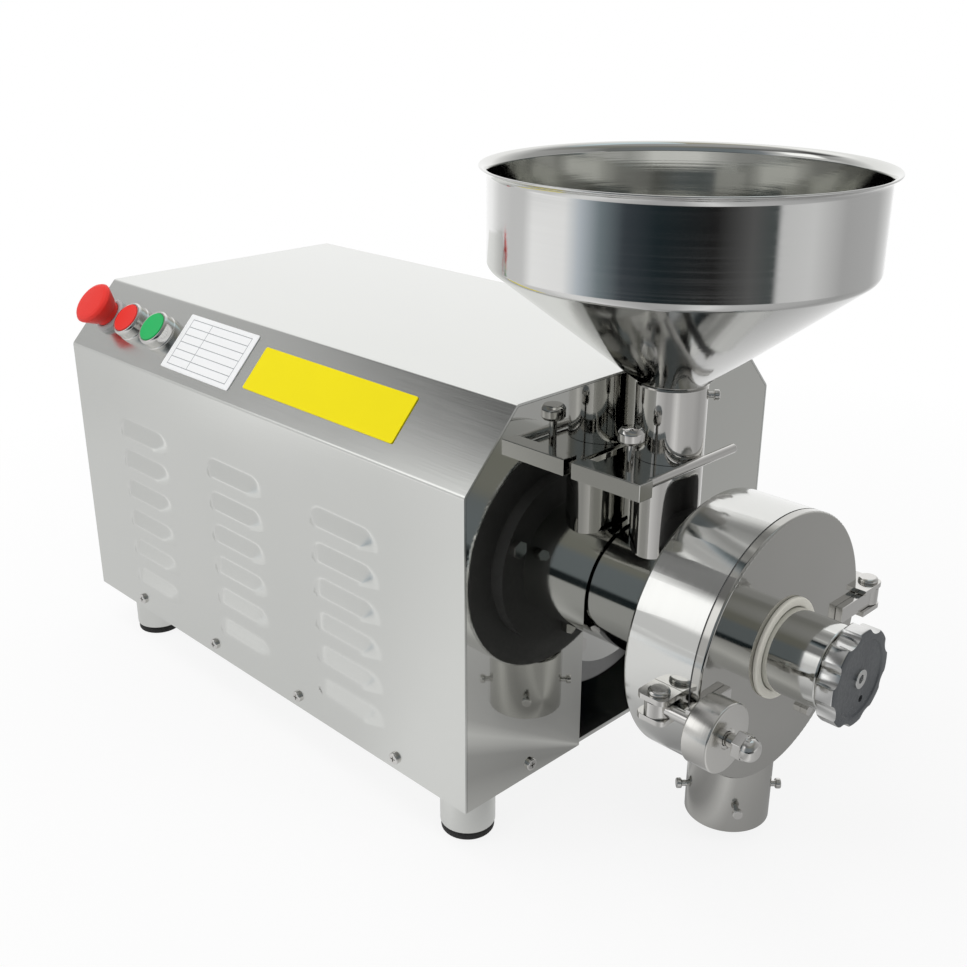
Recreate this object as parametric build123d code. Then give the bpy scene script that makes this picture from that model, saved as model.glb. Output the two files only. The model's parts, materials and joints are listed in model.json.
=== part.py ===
from build123d import *
import os
from math import cos, hypot, pi, radians, sin, tan

# Electric stone mill, in millimetres.
# While it is being built, X runs along the shaft with the front plate's outer face at X = 0,
# Y = 0 is the mid plane with the controls on the -Y side, and Z = 0 is the casing's lower edge.
# The last lines move everything so that the origin is the middle of the footprint, on the floor.

# Casing: one folded sheet over a base, with a plate at each end
casing_width = 300.0
bevel_run = 42.0
bevel_drop = 45.0
bend_radius = 4.0
sheet = 1.5
front_sheet = 2.0
rear_sheet = 1.5
base_sheet = 3.0
base_flange = 20.0
sheet_gap = 0.2
rear_room = 144.0
motor_headroom = 70.0
motor_clearance = 24.0

# Louvers pressed out of both sides
louver_length = 66.0
louver_depth = 5.0
louver_rise = 14.0
louver_lip = 4.0
louver_rows = 6
louver_columns = 3
louver_front_margin = 79.0
louver_rear_margin = 64.0
louver_low_margin = 26.0
louver_top_margin = 46.0

# Slots in the rear plate, behind the fan
vent_length = 55.0
vent_width = 5.0
vent_gap = 13.0
vent_rows = 7
vent_pitch = 13.0

# Feet
foot_radius = 18.0
foot_height = 28.0
foot_bevel = 1.5
pad_radius = 17.4
pad_height = 6.0
pad_bevel = 1.2
foot_inset_side = 25.0
foot_inset_front = 24.0
foot_inset_rear = 45.0
stud_radius = 4.0
stud_length = 14.0

# Screws and bolts
screw_radius = 2.0
screw_head_radius = 4.2
screw_head_height = 2.4
screw_length = 9.0
screw_slot = 0.9
screw_height = 9.0
screw_front_margin = 66.0
screw_rear_margin = 69.0
screw_count = 4
plate_screw_offset = 92.0
thumb_radius = 2.0
thumb_neck = 3.4
thumb_head_radius = 3.4
thumb_head_length = 3.6
bolt_radius = 4.0
bolt_head_radius = 6.5
bolt_head_height = 5.0
stop_bolt_radius = 2.5
stop_bolt_head = 4.0
stop_bolt_inset = 19.0
stop_bolt_angle = -60.0
hole_gap = 0.2
fit_gap = 0.01

# Controls on the near bevel, from the rear: emergency stop, stop and start
control_pitch = 37.5
control_rear_inset = 30.0
control_count = 3
panel_hole = 11.0
bezel_radius = 14.5
bezel_height = 12.0
bezel_tail = 14.0
bezel_bevel = 1.2
button_radius = 11.5
button_depth = 3.5
button_proud = 0.6
button_stem = 5.0
button_travel = 3.0
estop_radius = 17.5
estop_neck = 11.0
estop_height = 24.0
estop_rim = 3.0
estop_collar_radius = 14.0
estop_collar_height = 5.0
estop_travel = 4.0
stop_room = 0.5
stem_end = 2.0
block_width = 26.0
block_depth = 34.0
label_thickness = 0.8
label_corner = 1.5
label_gap = 19.0
data_plate_length = 86.0
data_plate_width = 45.0
notice_gap = 13.0
notice_front_margin = 72.0
notice_width = 33.0

# Cable gland on the rear plate
gland_side = 30.0
gland_height = 79.0
gland_radius = 16.0
gland_thread = 12.0
gland_hex = 6.0
gland_nut = 5.0
gland_tail = 10.0
gland_reach = 23.0
gland_bore = 6.0
gland_taper = 5.0

# Motor
motor_radius = 80.0
fin_height = 6.0
fin_count = 24
fin_thickness = 3.0
fin_root = 2.0
frame_wall = 8.0
frame_length = 200.0
shield_lip = 1.5
shield_edge = 2.0
bearing_bore = 12.5
bearing_section = 13.5
bearing_width = 15.0
stack_margin = 35.0
stator_depth = 26.0
air_gap = 0.5
winding_length = 24.0
winding_inset = 5.0
winding_round = 4.0
rotor_step = 2.5
shaft_passage = 2.0
fan_tip_gap = 16.0
fan_setback = 8.0
fan_width = 14.0
fan_hub = 25.0
fan_blade = 3.0
fan_blades = 8
cowl_length = 50.0
cowl_wall = 2.0
cowl_round = 5.0
cowl_hole = 4.0
cowl_hole_rings = 4
cowl_hole_pitch = 14.0
cradle_thickness = 8.0
cradle_half_width = 70.0
cradle_rise = 64.0
cradle_span = 110.0
cradle_foot = 4.0
cradle_foot_reach = 26.0
cradle_bolt_reach = 18.0
cradle_bolt_inset = 11.0
switchgear_inset = 20.0
capacitor_radius = 22.0
capacitor_height = 85.0
capacitor_edge = 2.0
contactor_size = 60.0
contactor_step = 18.0

# Feed housing: the level tube that carries the grain to the stones
housing_radius = 41.5
housing_wall = 3.5
flange_radius = 60.0
flange_thickness = 8.0
flange_setback = 12.0
flange_bolt_circle = 52.0
flange_bolts = 4
collar_radius = 62.0
collar_thickness = 10.0
seal_width = 9.5
slot_gap = 2.0
auger_gap = 2.5
auger_hub_wall = 4.5
auger_blade = 4.0
auger_blade_length = 14.0
auger_blades = 7
auger_turns = 1.6
auger_slant = 35.0
auger_end_gap = 2.0

# Grinding drum and its cover
drum_gap = 17.0
drum_radius = 85.0
drum_wall = 5.0
drum_floor = 6.0
drum_depth = 47.0
drum_edge = 2.0
drum_bolt_reach = 13.0
drum_bolts = 3
drum_bolt_start = 155.0
gasket_thickness = 1.0
gasket_width = 4.0
gasket_inset = 0.5
cover_thickness = 6.0
cover_edge = 1.5
hub_wall = 10.5
hub_length = 37.5
hub_edge = 0.8
hub_ring_height = 6.0
hub_ring_width = 2.8
hub_ring_round = 1.2

# Stones, and the screw that sets the gap between them
stone_side_gap = 10.0
stone_eye = 30.0
stone_thickness = 13.0
stone_gap = 1.2
furrow_depth = 1.5
furrow_width = 3.0
furrow_count = 12
furrow_lead = 6.0
furrow_slant = 18.0
furrow_margin = 4.0
carrier_thickness = 5.0
carrier_inset = 2.0
carrier_clearance = 2.0
carrier_hub_wall = 5.0
carrier_hub_length = 6.0
carrier_windows = 6
window_gap = 0.8
shaft_nut_width = 7.0
shaft_nut_length = 5.0
spindle_radius = 16.0
spindle_shoulder = 4.0
spindle_lip = 2.5
spindle_gap = 0.3
spindle_eye_gap = 8.0
guide_pin_radius = 4.0
guide_pin_circle = 48.0
guide_pin_root = 1.0
guide_pin_entry = 1.0
guide_pins = 2
guide_hole_depth = 4.0
adjust_room = 3.2
knob_radius = 30.8
knob_length = 12.5
knob_lobes = 8
knob_flute = 11.0
knob_flute_depth = 3.3
knob_gap = 1.6
knob_recess = 2.0
knob_web = 6.0
knob_screw_radius = 6.0
knob_screw_proud = 0.6
knob_socket = 3.0
knob_socket_floor = 0.8
running_gap = 0.05
axial_gap = 0.2

# Hinge and clamp of the cover
strap_thickness = 5.0
strap_overlap = 25.0
pin_radius = 4.0
pin_head_radius = 6.5
pin_head_height = 3.0
pin_tail = 2.0
lug_thickness = 3.5
lug_corner = 5.0
hinge_strap_height = 11.0
hinge_setback = 0.5
hinge_gap = 7.5
hinge_lug_reach = 22.0
knuckle_wall = 3.5
clamp_strap_height = 15.0
clamp_drop = 7.5
clamp_setback = 20.0
clamp_gap = 2.0
clamp_lug_back = 11.0
clamp_lug_front = 9.0
eye_wall = 4.0
eye_over = 1.0
swing_bolt_radius = 4.0
prong_overlap = 2.5
washer_radius = 9.0
washer_thickness = 1.7
hand_nut_radius = 20.5
hand_nut_length = 20.0
hand_nut_edge = 1.2
hand_nut_travel = 6.0
cap_nut_radius = 8.5
cap_nut_hex = 6.0
cap_nut_length = 13.0
cap_nut_thread = 4.0
cap_nut_land = 1.6
seat_gap = 0.3

# Feed tube, gate and hopper
feed_front_gap = 5.0
feed_radius = 22.0
feed_wall = 2.0
feed_screw_drop = 8.0
gate_drop = 46.3
gate_thickness = 3.0
gate_reach = 64.0
gate_hem_depth = 12.0
gate_hem_height = 11.0
gate_hem_rise = 5.0
gate_rear_gap = 3.0
gate_shoulder = 0.4
gate_rod_radius = 3.0
gate_rod_length = 85.0
gate_rod_gap = 0.5
gate_rod_edge = 0.6
gate_knob_side = 43.0
gate_knob_offset = 4.0
gate_knob_radius = 8.0
gate_knob_height = 10.0
gate_knob_edge = 1.5
gate_stem_radius = 2.6
gate_stem_height = 19.0
hopper_radius = 113.5
hopper_wall = 1.2
hopper_side = 57.0
hopper_slope = 37.7
hopper_neck = 20.0
hopper_neck_gap = 0.1
hopper_seat_gap = 0.05
hopper_clearance = 1.0
hopper_flare = 4.1
hopper_flare_rise = 7.0
hopper_lip = 1.3
hopper_bead = 1.6

# Outlet spout
spout_setback = 25.0
spout_radius = 27.0
spout_wall = 2.0
spout_socket = 40.0
spout_seat = 1.0
spout_floor_gap = 10.0
spout_screw_rise = 18.0
spout_screws_count = 4
spout_seam = 0.2
outlet_hole = 17.0

# Places that follow from the sizes above
half_width = casing_width / 2
bevel_slope = hypot(bevel_run, bevel_drop)
bearing_outer = bearing_bore + bearing_section
journal = bearing_bore - running_gap
press_bore = journal + fit_gap
shield_thickness = bearing_width + 2 * shield_lip
frame_radius = motor_radius - fin_height
frame_bore = frame_radius - frame_wall
stator_bore = frame_bore - stator_depth
shaft_height = base_sheet + motor_clearance + motor_radius
casing_height = shaft_height + motor_radius + motor_headroom
motor_face = -flange_setback - flange_thickness
frame_front = motor_face - shield_thickness
frame_rear = frame_front - frame_length
motor_rear = frame_rear - shield_thickness
cowl_rear = motor_rear - cowl_length
casing_length = rear_room - cowl_rear
stack_front = frame_front - stack_margin
stack_rear = frame_rear + stack_margin
stack_length = stack_front - stack_rear
stack_middle = (stack_front + stack_rear) / 2
housing_bore = housing_radius - housing_wall
seal_radius = bearing_bore + seal_width
feed_x = feed_front_gap + feed_radius
feed_bore = feed_radius - feed_wall
drum_back = feed_x + feed_radius + drum_gap
drum_front = drum_back + drum_depth
drum_bore = drum_radius - drum_wall
drum_bolt_circle = housing_radius + drum_bolt_reach
collar_back = drum_back - collar_thickness
cover_back = drum_front + gasket_thickness
cover_front = cover_back + cover_thickness
hub_radius = spindle_radius + hub_wall
hub_front = cover_front + hub_length
knob_back = hub_front + knob_gap
knob_front = knob_back + knob_length
stone_radius = drum_bore - stone_side_gap
runner_back = drum_back + drum_floor + carrier_clearance
runner_seat = runner_back + carrier_thickness
runner_face = runner_seat + stone_thickness
carrier_hub = bearing_bore + carrier_hub_wall
nut_seat = runner_seat + carrier_hub_length
shaft_end = nut_seat + shaft_nut_length
fixed_face = runner_face + stone_gap
fixed_front = cover_back - adjust_room
fixed_seat = fixed_front - carrier_thickness
spindle_tip = spindle_radius - spindle_shoulder
knuckle_radius = pin_radius + knuckle_wall
hinge_x = cover_front - hinge_setback
hinge_side = drum_radius + knuckle_radius + hinge_gap
hinge_opening = hinge_strap_height + 2 * seat_gap
eye_radius = pin_radius + eye_wall
eye_height = 2 * swing_bolt_radius + eye_over
clamp_x = cover_front - clamp_setback
clamp_side = -drum_radius - eye_radius - clamp_gap
clamp_height = shaft_height - clamp_drop
clamp_opening = eye_height + 2 * seat_gap
strap_inner = drum_radius - strap_overlap
strap_front = cover_front + strap_thickness
washer_back = strap_front + seat_gap
nut_back = washer_back + washer_thickness
nut_front = nut_back + hand_nut_length
cap_back = nut_front + hand_nut_travel + seat_gap
hopper_neck_radius = feed_bore - hopper_neck_gap
hopper_pitch = tan(radians(hopper_slope))
feed_top = casing_height + hopper_clearance - (feed_x - hopper_neck_radius) * hopper_pitch
gate_top = feed_top - gate_drop
gate_level = gate_top - gate_thickness
hem_inner = -gate_reach + gate_hem_depth
hem_top = gate_top + gate_hem_rise
rod_x = feed_x + feed_radius + gate_rod_radius + gate_rod_gap
spout_x = drum_back + spout_setback
spout_end = -foot_height - pad_height + spout_floor_gap
first_control = casing_length - control_rear_inset
data_plate_rear = first_control - (control_count - 1) * control_pitch - label_gap
notice_rear = data_plate_rear - data_plate_length - notice_gap

along_x = (1, 0, 0)
along_y = (0, 1, 0)
along_z = (0, 0, 1)
backward = (-1, 0, 0)
downward = (0, 0, -1)
bevel_out = (0, -bevel_drop / bevel_slope, bevel_run / bevel_slope)
on_end = (Align.CENTER, Align.CENTER, Align.MIN)


# Shapes used all over
def rod(at, axis, radius, length):
    return Plane(origin=at, z_dir=axis) * Cylinder(radius, length, align=on_end)


def tube(at, axis, outer, inner, length):
    return rod(at, axis, outer, length) - rod(at, axis, inner, length)


def shaft_rod(start, stop, radius):
    return rod((start, 0, shaft_height), along_x, radius, stop - start)


def shaft_tube(start, stop, outer, inner):
    return shaft_rod(start, stop, outer) - shaft_rod(start, stop, inner)


def block(low, high):
    size = [b - a for a, b in zip(low, high)]
    middle = [(a + b) / 2 for a, b in zip(low, high)]
    return Pos(*middle) * Box(*size)


def lathe_x(points, side=0.0, height=shaft_height):
    outline = make_face(Polyline(*[(x, 0, r) for x, r in points], close=True))
    return Pos(0, side, height) * revolve(outline, Axis.X)


def lathe_z(points, x, y=0.0):
    outline = make_face(Polyline(*[(r, 0, z) for r, z in points], close=True))
    return Pos(x, y, 0) * revolve(outline, Axis.Z)


def turns(count, start=0.0):
    return [radians(start + 360.0 * i / count) for i in range(count)]


def shaft_point(x, circle, angle):
    return (x, circle * cos(angle), shaft_height + circle * sin(angle))


def opposite(axis):
    return tuple(-v for v in axis)


def far_rim(solid, axis, last=True):
    rims = solid.edges().filter_by(GeomType.CIRCLE).sort_by(axis)
    return rims[-1] if last else rims[0]


def pan_screw(at, inward):
    head = Cylinder(screw_head_radius, screw_head_height, align=on_end)
    head = fillet(far_rim(head, Axis.Z), screw_head_height / 2)
    slot = Pos(0, 0, screw_head_height) * Box(screw_head_radius, screw_slot, screw_head_height)
    head = head - slot - Rot(0, 0, 90) * slot
    shank = Pos(0, 0, -screw_length) * Cylinder(screw_radius, screw_length, align=on_end)
    return Plane(origin=at, z_dir=opposite(inward)) * (head + shank)


def hex_bolt(at, inward, length, radius=bolt_radius, head_radius=bolt_head_radius):
    head = extrude(RegularPolygon(head_radius, 6), bolt_head_height)
    shank = Pos(0, 0, -length) * Cylinder(radius, length, align=on_end)
    return Plane(origin=at, z_dir=opposite(inward)) * (head + shank)


def thumb_screw(at, outward, depth):
    shank = Pos(0, 0, -depth) * Cylinder(thumb_radius, depth + thumb_neck, align=on_end)
    head = Cylinder(thumb_head_radius, thumb_head_length, align=on_end)
    head = chamfer(head.edges().filter_by(GeomType.CIRCLE), thumb_head_length / 7)
    return Plane(origin=at, z_dir=outward) * (shank + Pos(0, 0, thumb_neck) * head)


def thumb_hole(at, outward, wall):
    return Plane(origin=at, z_dir=outward) * Cylinder(thumb_radius + fit_gap, 4 * wall)


# Casing
def casing_outline(inset):
    half = half_width - inset
    top = casing_height - inset
    low = casing_height - bevel_drop - inset * (bevel_slope - bevel_drop) / bevel_run
    crown = half_width - bevel_run - inset * (bevel_slope - bevel_run) / bevel_drop
    near = [(-half, 0), (-half, low), (-crown, top)]
    far = [(crown, top), (half, low), (half, 0)]
    face = make_face(Polyline(*near, *far, close=True))
    bends = face.vertices().sort_by(Axis.Y)[2:]
    return fillet(bends, max(bend_radius - inset, fit_gap))


def louver_section(depth, rise, root):
    points = [(0, root, 0), (0, -depth, 0), (0, -depth, louver_lip), (0, 0, rise), (0, root, rise)]
    return make_face(Polyline(*points, close=True))


def louver_hood():
    straight = louver_length - 2 * louver_depth
    section = make_face(Polyline((0, 0, 0), (0, -louver_depth, 0), (0, -louver_depth, louver_lip),
                                 (0, 0, louver_rise), close=True))
    middle = Pos(-straight / 2, 0, 0) * extrude(section, straight, dir=along_x)
    end = revolve(section, Axis.Z, revolution_arc=90)
    return middle + Pos(straight / 2, 0, 0) * end + Pos(-straight / 2, 0, 0) * Rot(0, 0, -90) * end


def louver_pocket():
    straight = louver_length - 2 * louver_depth
    section = louver_section(louver_depth - sheet, louver_rise - sheet, 2 * sheet)
    return Pos(-straight / 2, 0, 0) * extrude(section, straight, dir=along_x)


def louver_places():
    span = casing_length - louver_front_margin - louver_rear_margin - louver_length
    wall_top = casing_height - bevel_drop - louver_top_margin - louver_rise
    for column in range(louver_columns):
        x = -louver_front_margin - louver_length / 2 - span * column / (louver_columns - 1)
        for row in range(louver_rows):
            z = louver_low_margin + (wall_top - louver_low_margin) * row / (louver_rows - 1)
            yield Pos(x, -half_width, z)
            yield Pos(x, half_width, z) * Rot(0, 0, 180)


def side_screws():
    span = casing_length - screw_front_margin - screw_rear_margin
    for index in range(screw_count):
        x = -screw_front_margin - span * index / (screw_count - 1)
        for side in (-1, 1):
            yield (x, side * half_width, screw_height), (0, -side, 0)


def plate_screws():
    for side in (-1, 1):
        yield (0, side * plate_screw_offset, screw_height), backward
        yield (-casing_length, side * plate_screw_offset, screw_height), along_x


def screw_holes(places):
    hole = Cylinder(screw_radius + hole_gap, 2 * screw_length)
    return [Plane(origin=at, z_dir=inward) * hole for at, inward in places]


def on_bevel(back, raised=0.0):
    middle = (-back, -half_width + bevel_run / 2, casing_height - bevel_drop / 2)
    return Plane(origin=middle, x_dir=along_x, z_dir=bevel_out).offset(raised)


def control_plane(index, raised=0.0):
    return on_bevel(first_control - index * control_pitch, raised)


def casing_shell():
    section = casing_outline(0) - casing_outline(sheet)
    shell = extrude(Plane.YZ.offset(-casing_length) * section, casing_length)
    shell = shell + [place * louver_hood() for place in louver_places()]
    shell = shell - [place * louver_pocket() for place in louver_places()]
    panel_cut = Cylinder(panel_hole + hole_gap, bezel_tail)
    shell = shell - [control_plane(index) * panel_cut for index in range(control_count)]
    return shell - screw_holes(side_screws())


def end_plate(front, thickness):
    outline = Plane.YZ.offset(front - thickness) * casing_outline(sheet + sheet_gap)
    return extrude(outline, thickness) - screw_holes(plate_screws())


def front_plate():
    reach = housing_radius + slot_gap
    slot = block((-front_sheet, -reach, 0), (0, reach, shaft_height))
    return end_plate(0, front_sheet) - slot - shaft_rod(-front_sheet, 0, reach)


def gland_point(x):
    return (x, -half_width + gland_side, gland_height)


def rear_plate():
    inner = -casing_length + rear_sheet
    plate = end_plate(inner, rear_sheet)
    slot = extrude(Plane.YZ.offset(-casing_length) * SlotOverall(vent_length, vent_width), rear_sheet)
    spread = (vent_length + vent_gap) / 2
    for row in range(vent_rows):
        rise = shaft_height + (row - (vent_rows - 1) / 2) * vent_pitch
        plate = plate - [Pos(0, side * spread, rise) * slot for side in (-1, 1)]
    return plate - rod(gland_point(-casing_length), along_x, gland_thread + hole_gap, rear_sheet)


def foot_places():
    for back in (foot_inset_front, casing_length - foot_inset_rear):
        for side in (-1, 1):
            yield -back, side * (half_width - foot_inset_side)


def cradle_stations():
    return (stack_middle - cradle_span / 2, stack_middle + cradle_span / 2)


def cradle_bolt_places():
    for x in cradle_stations():
        for side in (-1, 1):
            yield x + side * cradle_bolt_reach, side * (cradle_half_width - cradle_bolt_inset)


def base_plate():
    half = half_width - sheet - sheet_gap
    rear = -casing_length + rear_sheet + sheet_gap
    front = -front_sheet - sheet_gap
    slot = housing_radius + slot_gap
    base = block((rear, -half, 0), (front, half, base_sheet))
    walls = block((rear, -half, 0), (front, half, base_flange))
    inside = (half - base_sheet, rear + base_sheet, front - base_sheet)
    walls = walls - block((inside[1], -inside[0], 0), (inside[2], inside[0], base_flange))
    walls = walls - block((inside[2], -slot, base_sheet), (front, slot, base_flange))
    base = base + walls
    for x, y in foot_places():
        base = base - rod((x, y, 0), along_z, stud_radius + hole_gap, base_sheet)
    for x, y in cradle_bolt_places():
        base = base - rod((x, y, 0), along_z, bolt_radius + hole_gap, base_sheet)
    return base - screw_holes(side_screws()) - screw_holes(plate_screws())


def feet():
    rim = foot_radius - foot_bevel
    outline = [(0, 0), (rim, 0), (foot_radius, -foot_bevel), (foot_radius, -foot_height), (0, -foot_height)]
    cups = []
    for x, y in foot_places():
        stud = rod((x, y, -foot_height), along_z, stud_radius, foot_height + stud_length)
        cups.append(lathe_z(outline, x, y) + stud)
    return cups


def foot_pads():
    top = -foot_height
    low = top - pad_height
    rim = pad_radius - pad_bevel
    outline = [(0, top), (rim, top), (pad_radius, top - pad_bevel)]
    outline += [(pad_radius, low + pad_bevel), (rim, low), (0, low)]
    return [lathe_z(outline, x, y) for x, y in foot_places()]


def casing_screws():
    places = [*side_screws(), *plate_screws()]
    return [pan_screw(at, inward) for at, inward in places]


def label(rear, front, width):
    plate = Box(rear - front, width, label_thickness, align=on_end)
    plate = fillet(plate.edges().filter_by(Axis.Z), label_corner)
    return on_bevel((rear + front) / 2) * plate


# Controls
def lathe_control(index, points):
    outline = make_face(Polyline(*[(r, 0, h) for r, h in points], close=True))
    return control_plane(index) * revolve(outline, Axis.Z)


def estop_collar():
    bore = button_stem + running_gap
    rim = estop_collar_radius - bezel_bevel
    top = estop_collar_height
    outline = [(bore, -bezel_tail), (panel_hole, -bezel_tail), (panel_hole, 0), (estop_collar_radius, 0)]
    outline += [(estop_collar_radius, top - bezel_bevel), (rim, top), (bore, top)]
    return lathe_control(0, outline)


def estop_head():
    under = estop_collar_height + estop_travel + stop_room
    tip = estop_travel + stem_end - bezel_tail
    crown = estop_height - estop_rim
    flare = crown - estop_rim
    outline = [(0, tip), (button_stem, tip), (button_stem, under), (estop_neck, under)]
    outline += [(estop_neck, under + estop_rim), (estop_radius - estop_rim / 2, flare)]
    outline += [(estop_radius, flare + estop_rim / 2), (estop_radius, crown)]
    outline += [(estop_radius - estop_rim / 2, crown + estop_rim / 2), (estop_radius / 2, estop_height)]
    return lathe_control(0, outline + [(0, estop_height)])


def button_bezel(index):
    stem = button_stem + running_gap
    well = button_radius + 2 * running_gap
    floor = bezel_height - button_depth - button_travel - stop_room
    rim = bezel_radius - bezel_bevel
    outline = [(stem, -bezel_tail), (panel_hole, -bezel_tail), (panel_hole, 0), (bezel_radius, 0)]
    outline += [(bezel_radius, bezel_height - bezel_bevel), (rim, bezel_height), (well, bezel_height)]
    return lathe_control(index, outline + [(well, floor), (stem, floor)])


def push_button(index):
    under = bezel_height - button_depth
    tip = button_travel + stem_end - bezel_tail
    top = bezel_height + button_proud
    rim = button_radius - button_proud
    outline = [(0, tip), (button_stem, tip), (button_stem, under), (button_radius, under)]
    return lathe_control(index, outline + [(button_radius, bezel_height), (rim, top), (0, top)])


def contact_blocks():
    body = Box(block_width, block_width, block_depth, align=(Align.CENTER, Align.CENTER, Align.MAX))
    return [control_plane(index, -bezel_tail) * body for index in range(control_count)]


def cable_gland():
    face = -casing_length
    inside = face + rear_sheet
    end = face - gland_reach
    tip = gland_thread - gland_taper / 2
    side, height = gland_point(face)[1:]
    outline = [(end, 0), (end, tip), (end + gland_taper, gland_thread), (inside + gland_tail, gland_thread)]
    body = lathe_x(outline + [(inside + gland_tail, 0)], side, height)
    hexagon = RegularPolygon(gland_radius, 6)
    collar = extrude(Plane(origin=gland_point(face), z_dir=backward) * hexagon, gland_hex)
    nut = extrude(Plane(origin=gland_point(inside), z_dir=along_x) * hexagon, gland_nut)
    return body + collar + nut - rod(gland_point(end), along_x, gland_bore, inside + gland_tail - end)


# Motor
def shield(front, outer_last):
    rear = front - shield_thickness
    disc = shaft_rod(rear, front, motor_radius)
    disc = fillet(far_rim(disc, Axis.X, outer_last), shield_edge)
    seat = shaft_rod(rear + shield_lip, front - shield_lip, bearing_outer)
    return disc - seat - shaft_rod(rear, front, bearing_bore + shaft_passage)


def flange_holes():
    hole = Cylinder(bolt_radius + hole_gap, 4 * shield_thickness)
    places = [shaft_point(motor_face, flange_bolt_circle, a) for a in turns(flange_bolts, 45)]
    return [Plane(origin=at, z_dir=along_x) * hole for at in places]


def motor_front_shield():
    return shield(motor_face, True) - flange_holes()


def motor_rear_shield():
    return shield(frame_rear, False)


def motor_bearings():
    rings = []
    for front in (motor_face - shield_lip, frame_rear - shield_lip):
        rings.append(shaft_tube(front - bearing_width, front, bearing_outer, bearing_bore))
    return rings


def motor_frame():
    frame = shaft_tube(frame_rear, frame_front, frame_radius, frame_bore)
    half = fin_thickness / 2
    fin = block((frame_rear, frame_radius - fin_root, -half), (frame_front, motor_radius, half))
    fins = [Pos(0, 0, shaft_height) * Rot(360.0 * i / fin_count, 0, 0) * fin for i in range(fin_count)]
    return (frame + fins) & shaft_rod(frame_rear, frame_front, motor_radius)


def stator_core():
    return shaft_tube(stack_rear, stack_front, frame_bore - fit_gap, stator_bore)


def stator_winding():
    outer = frame_bore - winding_inset
    inner = stator_bore + winding_inset
    round_edge = min(winding_round, winding_length / 3, (outer - inner) / 3)
    rings = []
    for start in (stack_front, stack_rear - winding_length):
        ring = shaft_tube(start, start + winding_length, outer, inner)
        rings.append(fillet(ring.edges().filter_by(GeomType.CIRCLE), round_edge))
    return rings


def shaft():
    tail = cowl_rear + fan_setback
    core = bearing_bore + rotor_step
    outline = [(tail, 0), (tail, journal), (stack_rear, journal), (stack_rear, core)]
    outline += [(stack_front, core), (stack_front, journal), (shaft_end, journal), (shaft_end, 0)]
    return lathe_x(outline)


def rotor_core():
    core = bearing_bore + rotor_step + fit_gap
    return shaft_tube(stack_rear, stack_front, stator_bore - air_gap, core)


def cooling_fan():
    front = motor_rear - fan_setback
    rear = front - fan_width
    tip = motor_radius - cowl_wall - fan_tip_gap
    half = fan_blade / 2
    blade = block((rear, fan_hub - half, -half), (front, tip, half))
    blades = [Pos(0, 0, shaft_height) * Rot(360.0 * i / fan_blades, 0, 0) * blade for i in range(fan_blades)]
    return shaft_tube(rear, front, fan_hub, press_bore) + blades


def fan_cowl():
    cup = shaft_rod(cowl_rear, motor_rear, motor_radius)
    cup = fillet(far_rim(cup, Axis.X, False), cowl_round)
    cup = cup - shaft_rod(cowl_rear + cowl_wall, motor_rear, motor_radius - cowl_wall)
    holes = []
    for ring in range(1, cowl_hole_rings + 1):
        for angle in turns(6 * ring):
            at = shaft_point(cowl_rear, ring * cowl_hole_pitch, angle)
            holes.append(rod(at, along_x, cowl_hole, cowl_wall))
    return cup - holes


def motor_cradle():
    saddle = shaft_rod(frame_rear, frame_front, motor_radius)
    half = cradle_thickness / 2
    wide = cradle_half_width
    foot_top = base_sheet + cradle_foot
    holes = [rod((x, y, 0), along_z, bolt_radius + hole_gap, foot_top) for x, y in cradle_bolt_places()]
    cradles = []
    for x in cradle_stations():
        web = block((x - half, -wide, base_sheet), (x + half, wide, base_sheet + cradle_rise))
        foot = block((x - cradle_foot_reach, -wide, base_sheet), (x + cradle_foot_reach, wide, foot_top))
        cradles.append(web + foot - saddle - holes)
    return cradles


def hex_bolts():
    bolts = []
    for angle in turns(flange_bolts, 45):
        at = shaft_point(motor_face + flange_thickness, flange_bolt_circle, angle)
        bolts.append(hex_bolt(at, backward, flange_thickness + shield_thickness))
    for x, y in cradle_bolt_places():
        bolts.append(hex_bolt((x, y, base_sheet + cradle_foot), downward, base_sheet + cradle_foot))
    for at in drum_bolt_places(collar_back):
        bolts.append(hex_bolt(at, along_x, collar_thickness + drum_floor))
    stop_at = stop_bolt_point(cover_front)
    bolts.append(hex_bolt(stop_at, backward, cover_thickness, stop_bolt_radius, stop_bolt_head))
    return bolts


def drum_bolt_places(x):
    return [shaft_point(x, drum_bolt_circle, angle) for angle in turns(drum_bolts, drum_bolt_start)]


def stop_bolt_point(x):
    return shaft_point(x, drum_radius - stop_bolt_inset, radians(stop_bolt_angle))


def start_capacitor():
    at = (-casing_length + switchgear_inset + capacitor_radius, half_width / 2, base_sheet)
    can = rod(at, along_z, capacitor_radius, capacitor_height)
    return fillet(can.edges().filter_by(GeomType.CIRCLE), capacitor_edge)


def contactor():
    rear = -casing_length + switchgear_inset
    front = rear + contactor_size
    side = -(half_width + contactor_size) / 2
    top = base_sheet + contactor_size
    body = block((rear, side, base_sheet), (front, side + contactor_size, top))
    return body + block((rear, side, top), ((rear + front) / 2, side + contactor_size, top + contactor_step))


# Head
def feed_housing():
    flange_front = motor_face + flange_thickness
    body = shaft_rod(motor_face, flange_front, flange_radius)
    body = body + shaft_rod(motor_face, drum_back, housing_radius)
    body = body + shaft_rod(collar_back, drum_back, collar_radius)
    body = body - shaft_rod(flange_front, drum_back, housing_bore)
    body = body - shaft_rod(motor_face, flange_front, seal_radius)
    body = body - rod((feed_x, 0, shaft_height), along_z, feed_bore, housing_radius + housing_wall)
    for at in drum_bolt_places(collar_back):
        body = body - rod(at, along_x, bolt_radius + hole_gap, collar_thickness)
    return body - flange_holes()


def shaft_seal():
    return shaft_tube(motor_face, motor_face + flange_thickness, seal_radius, bearing_bore)


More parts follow.
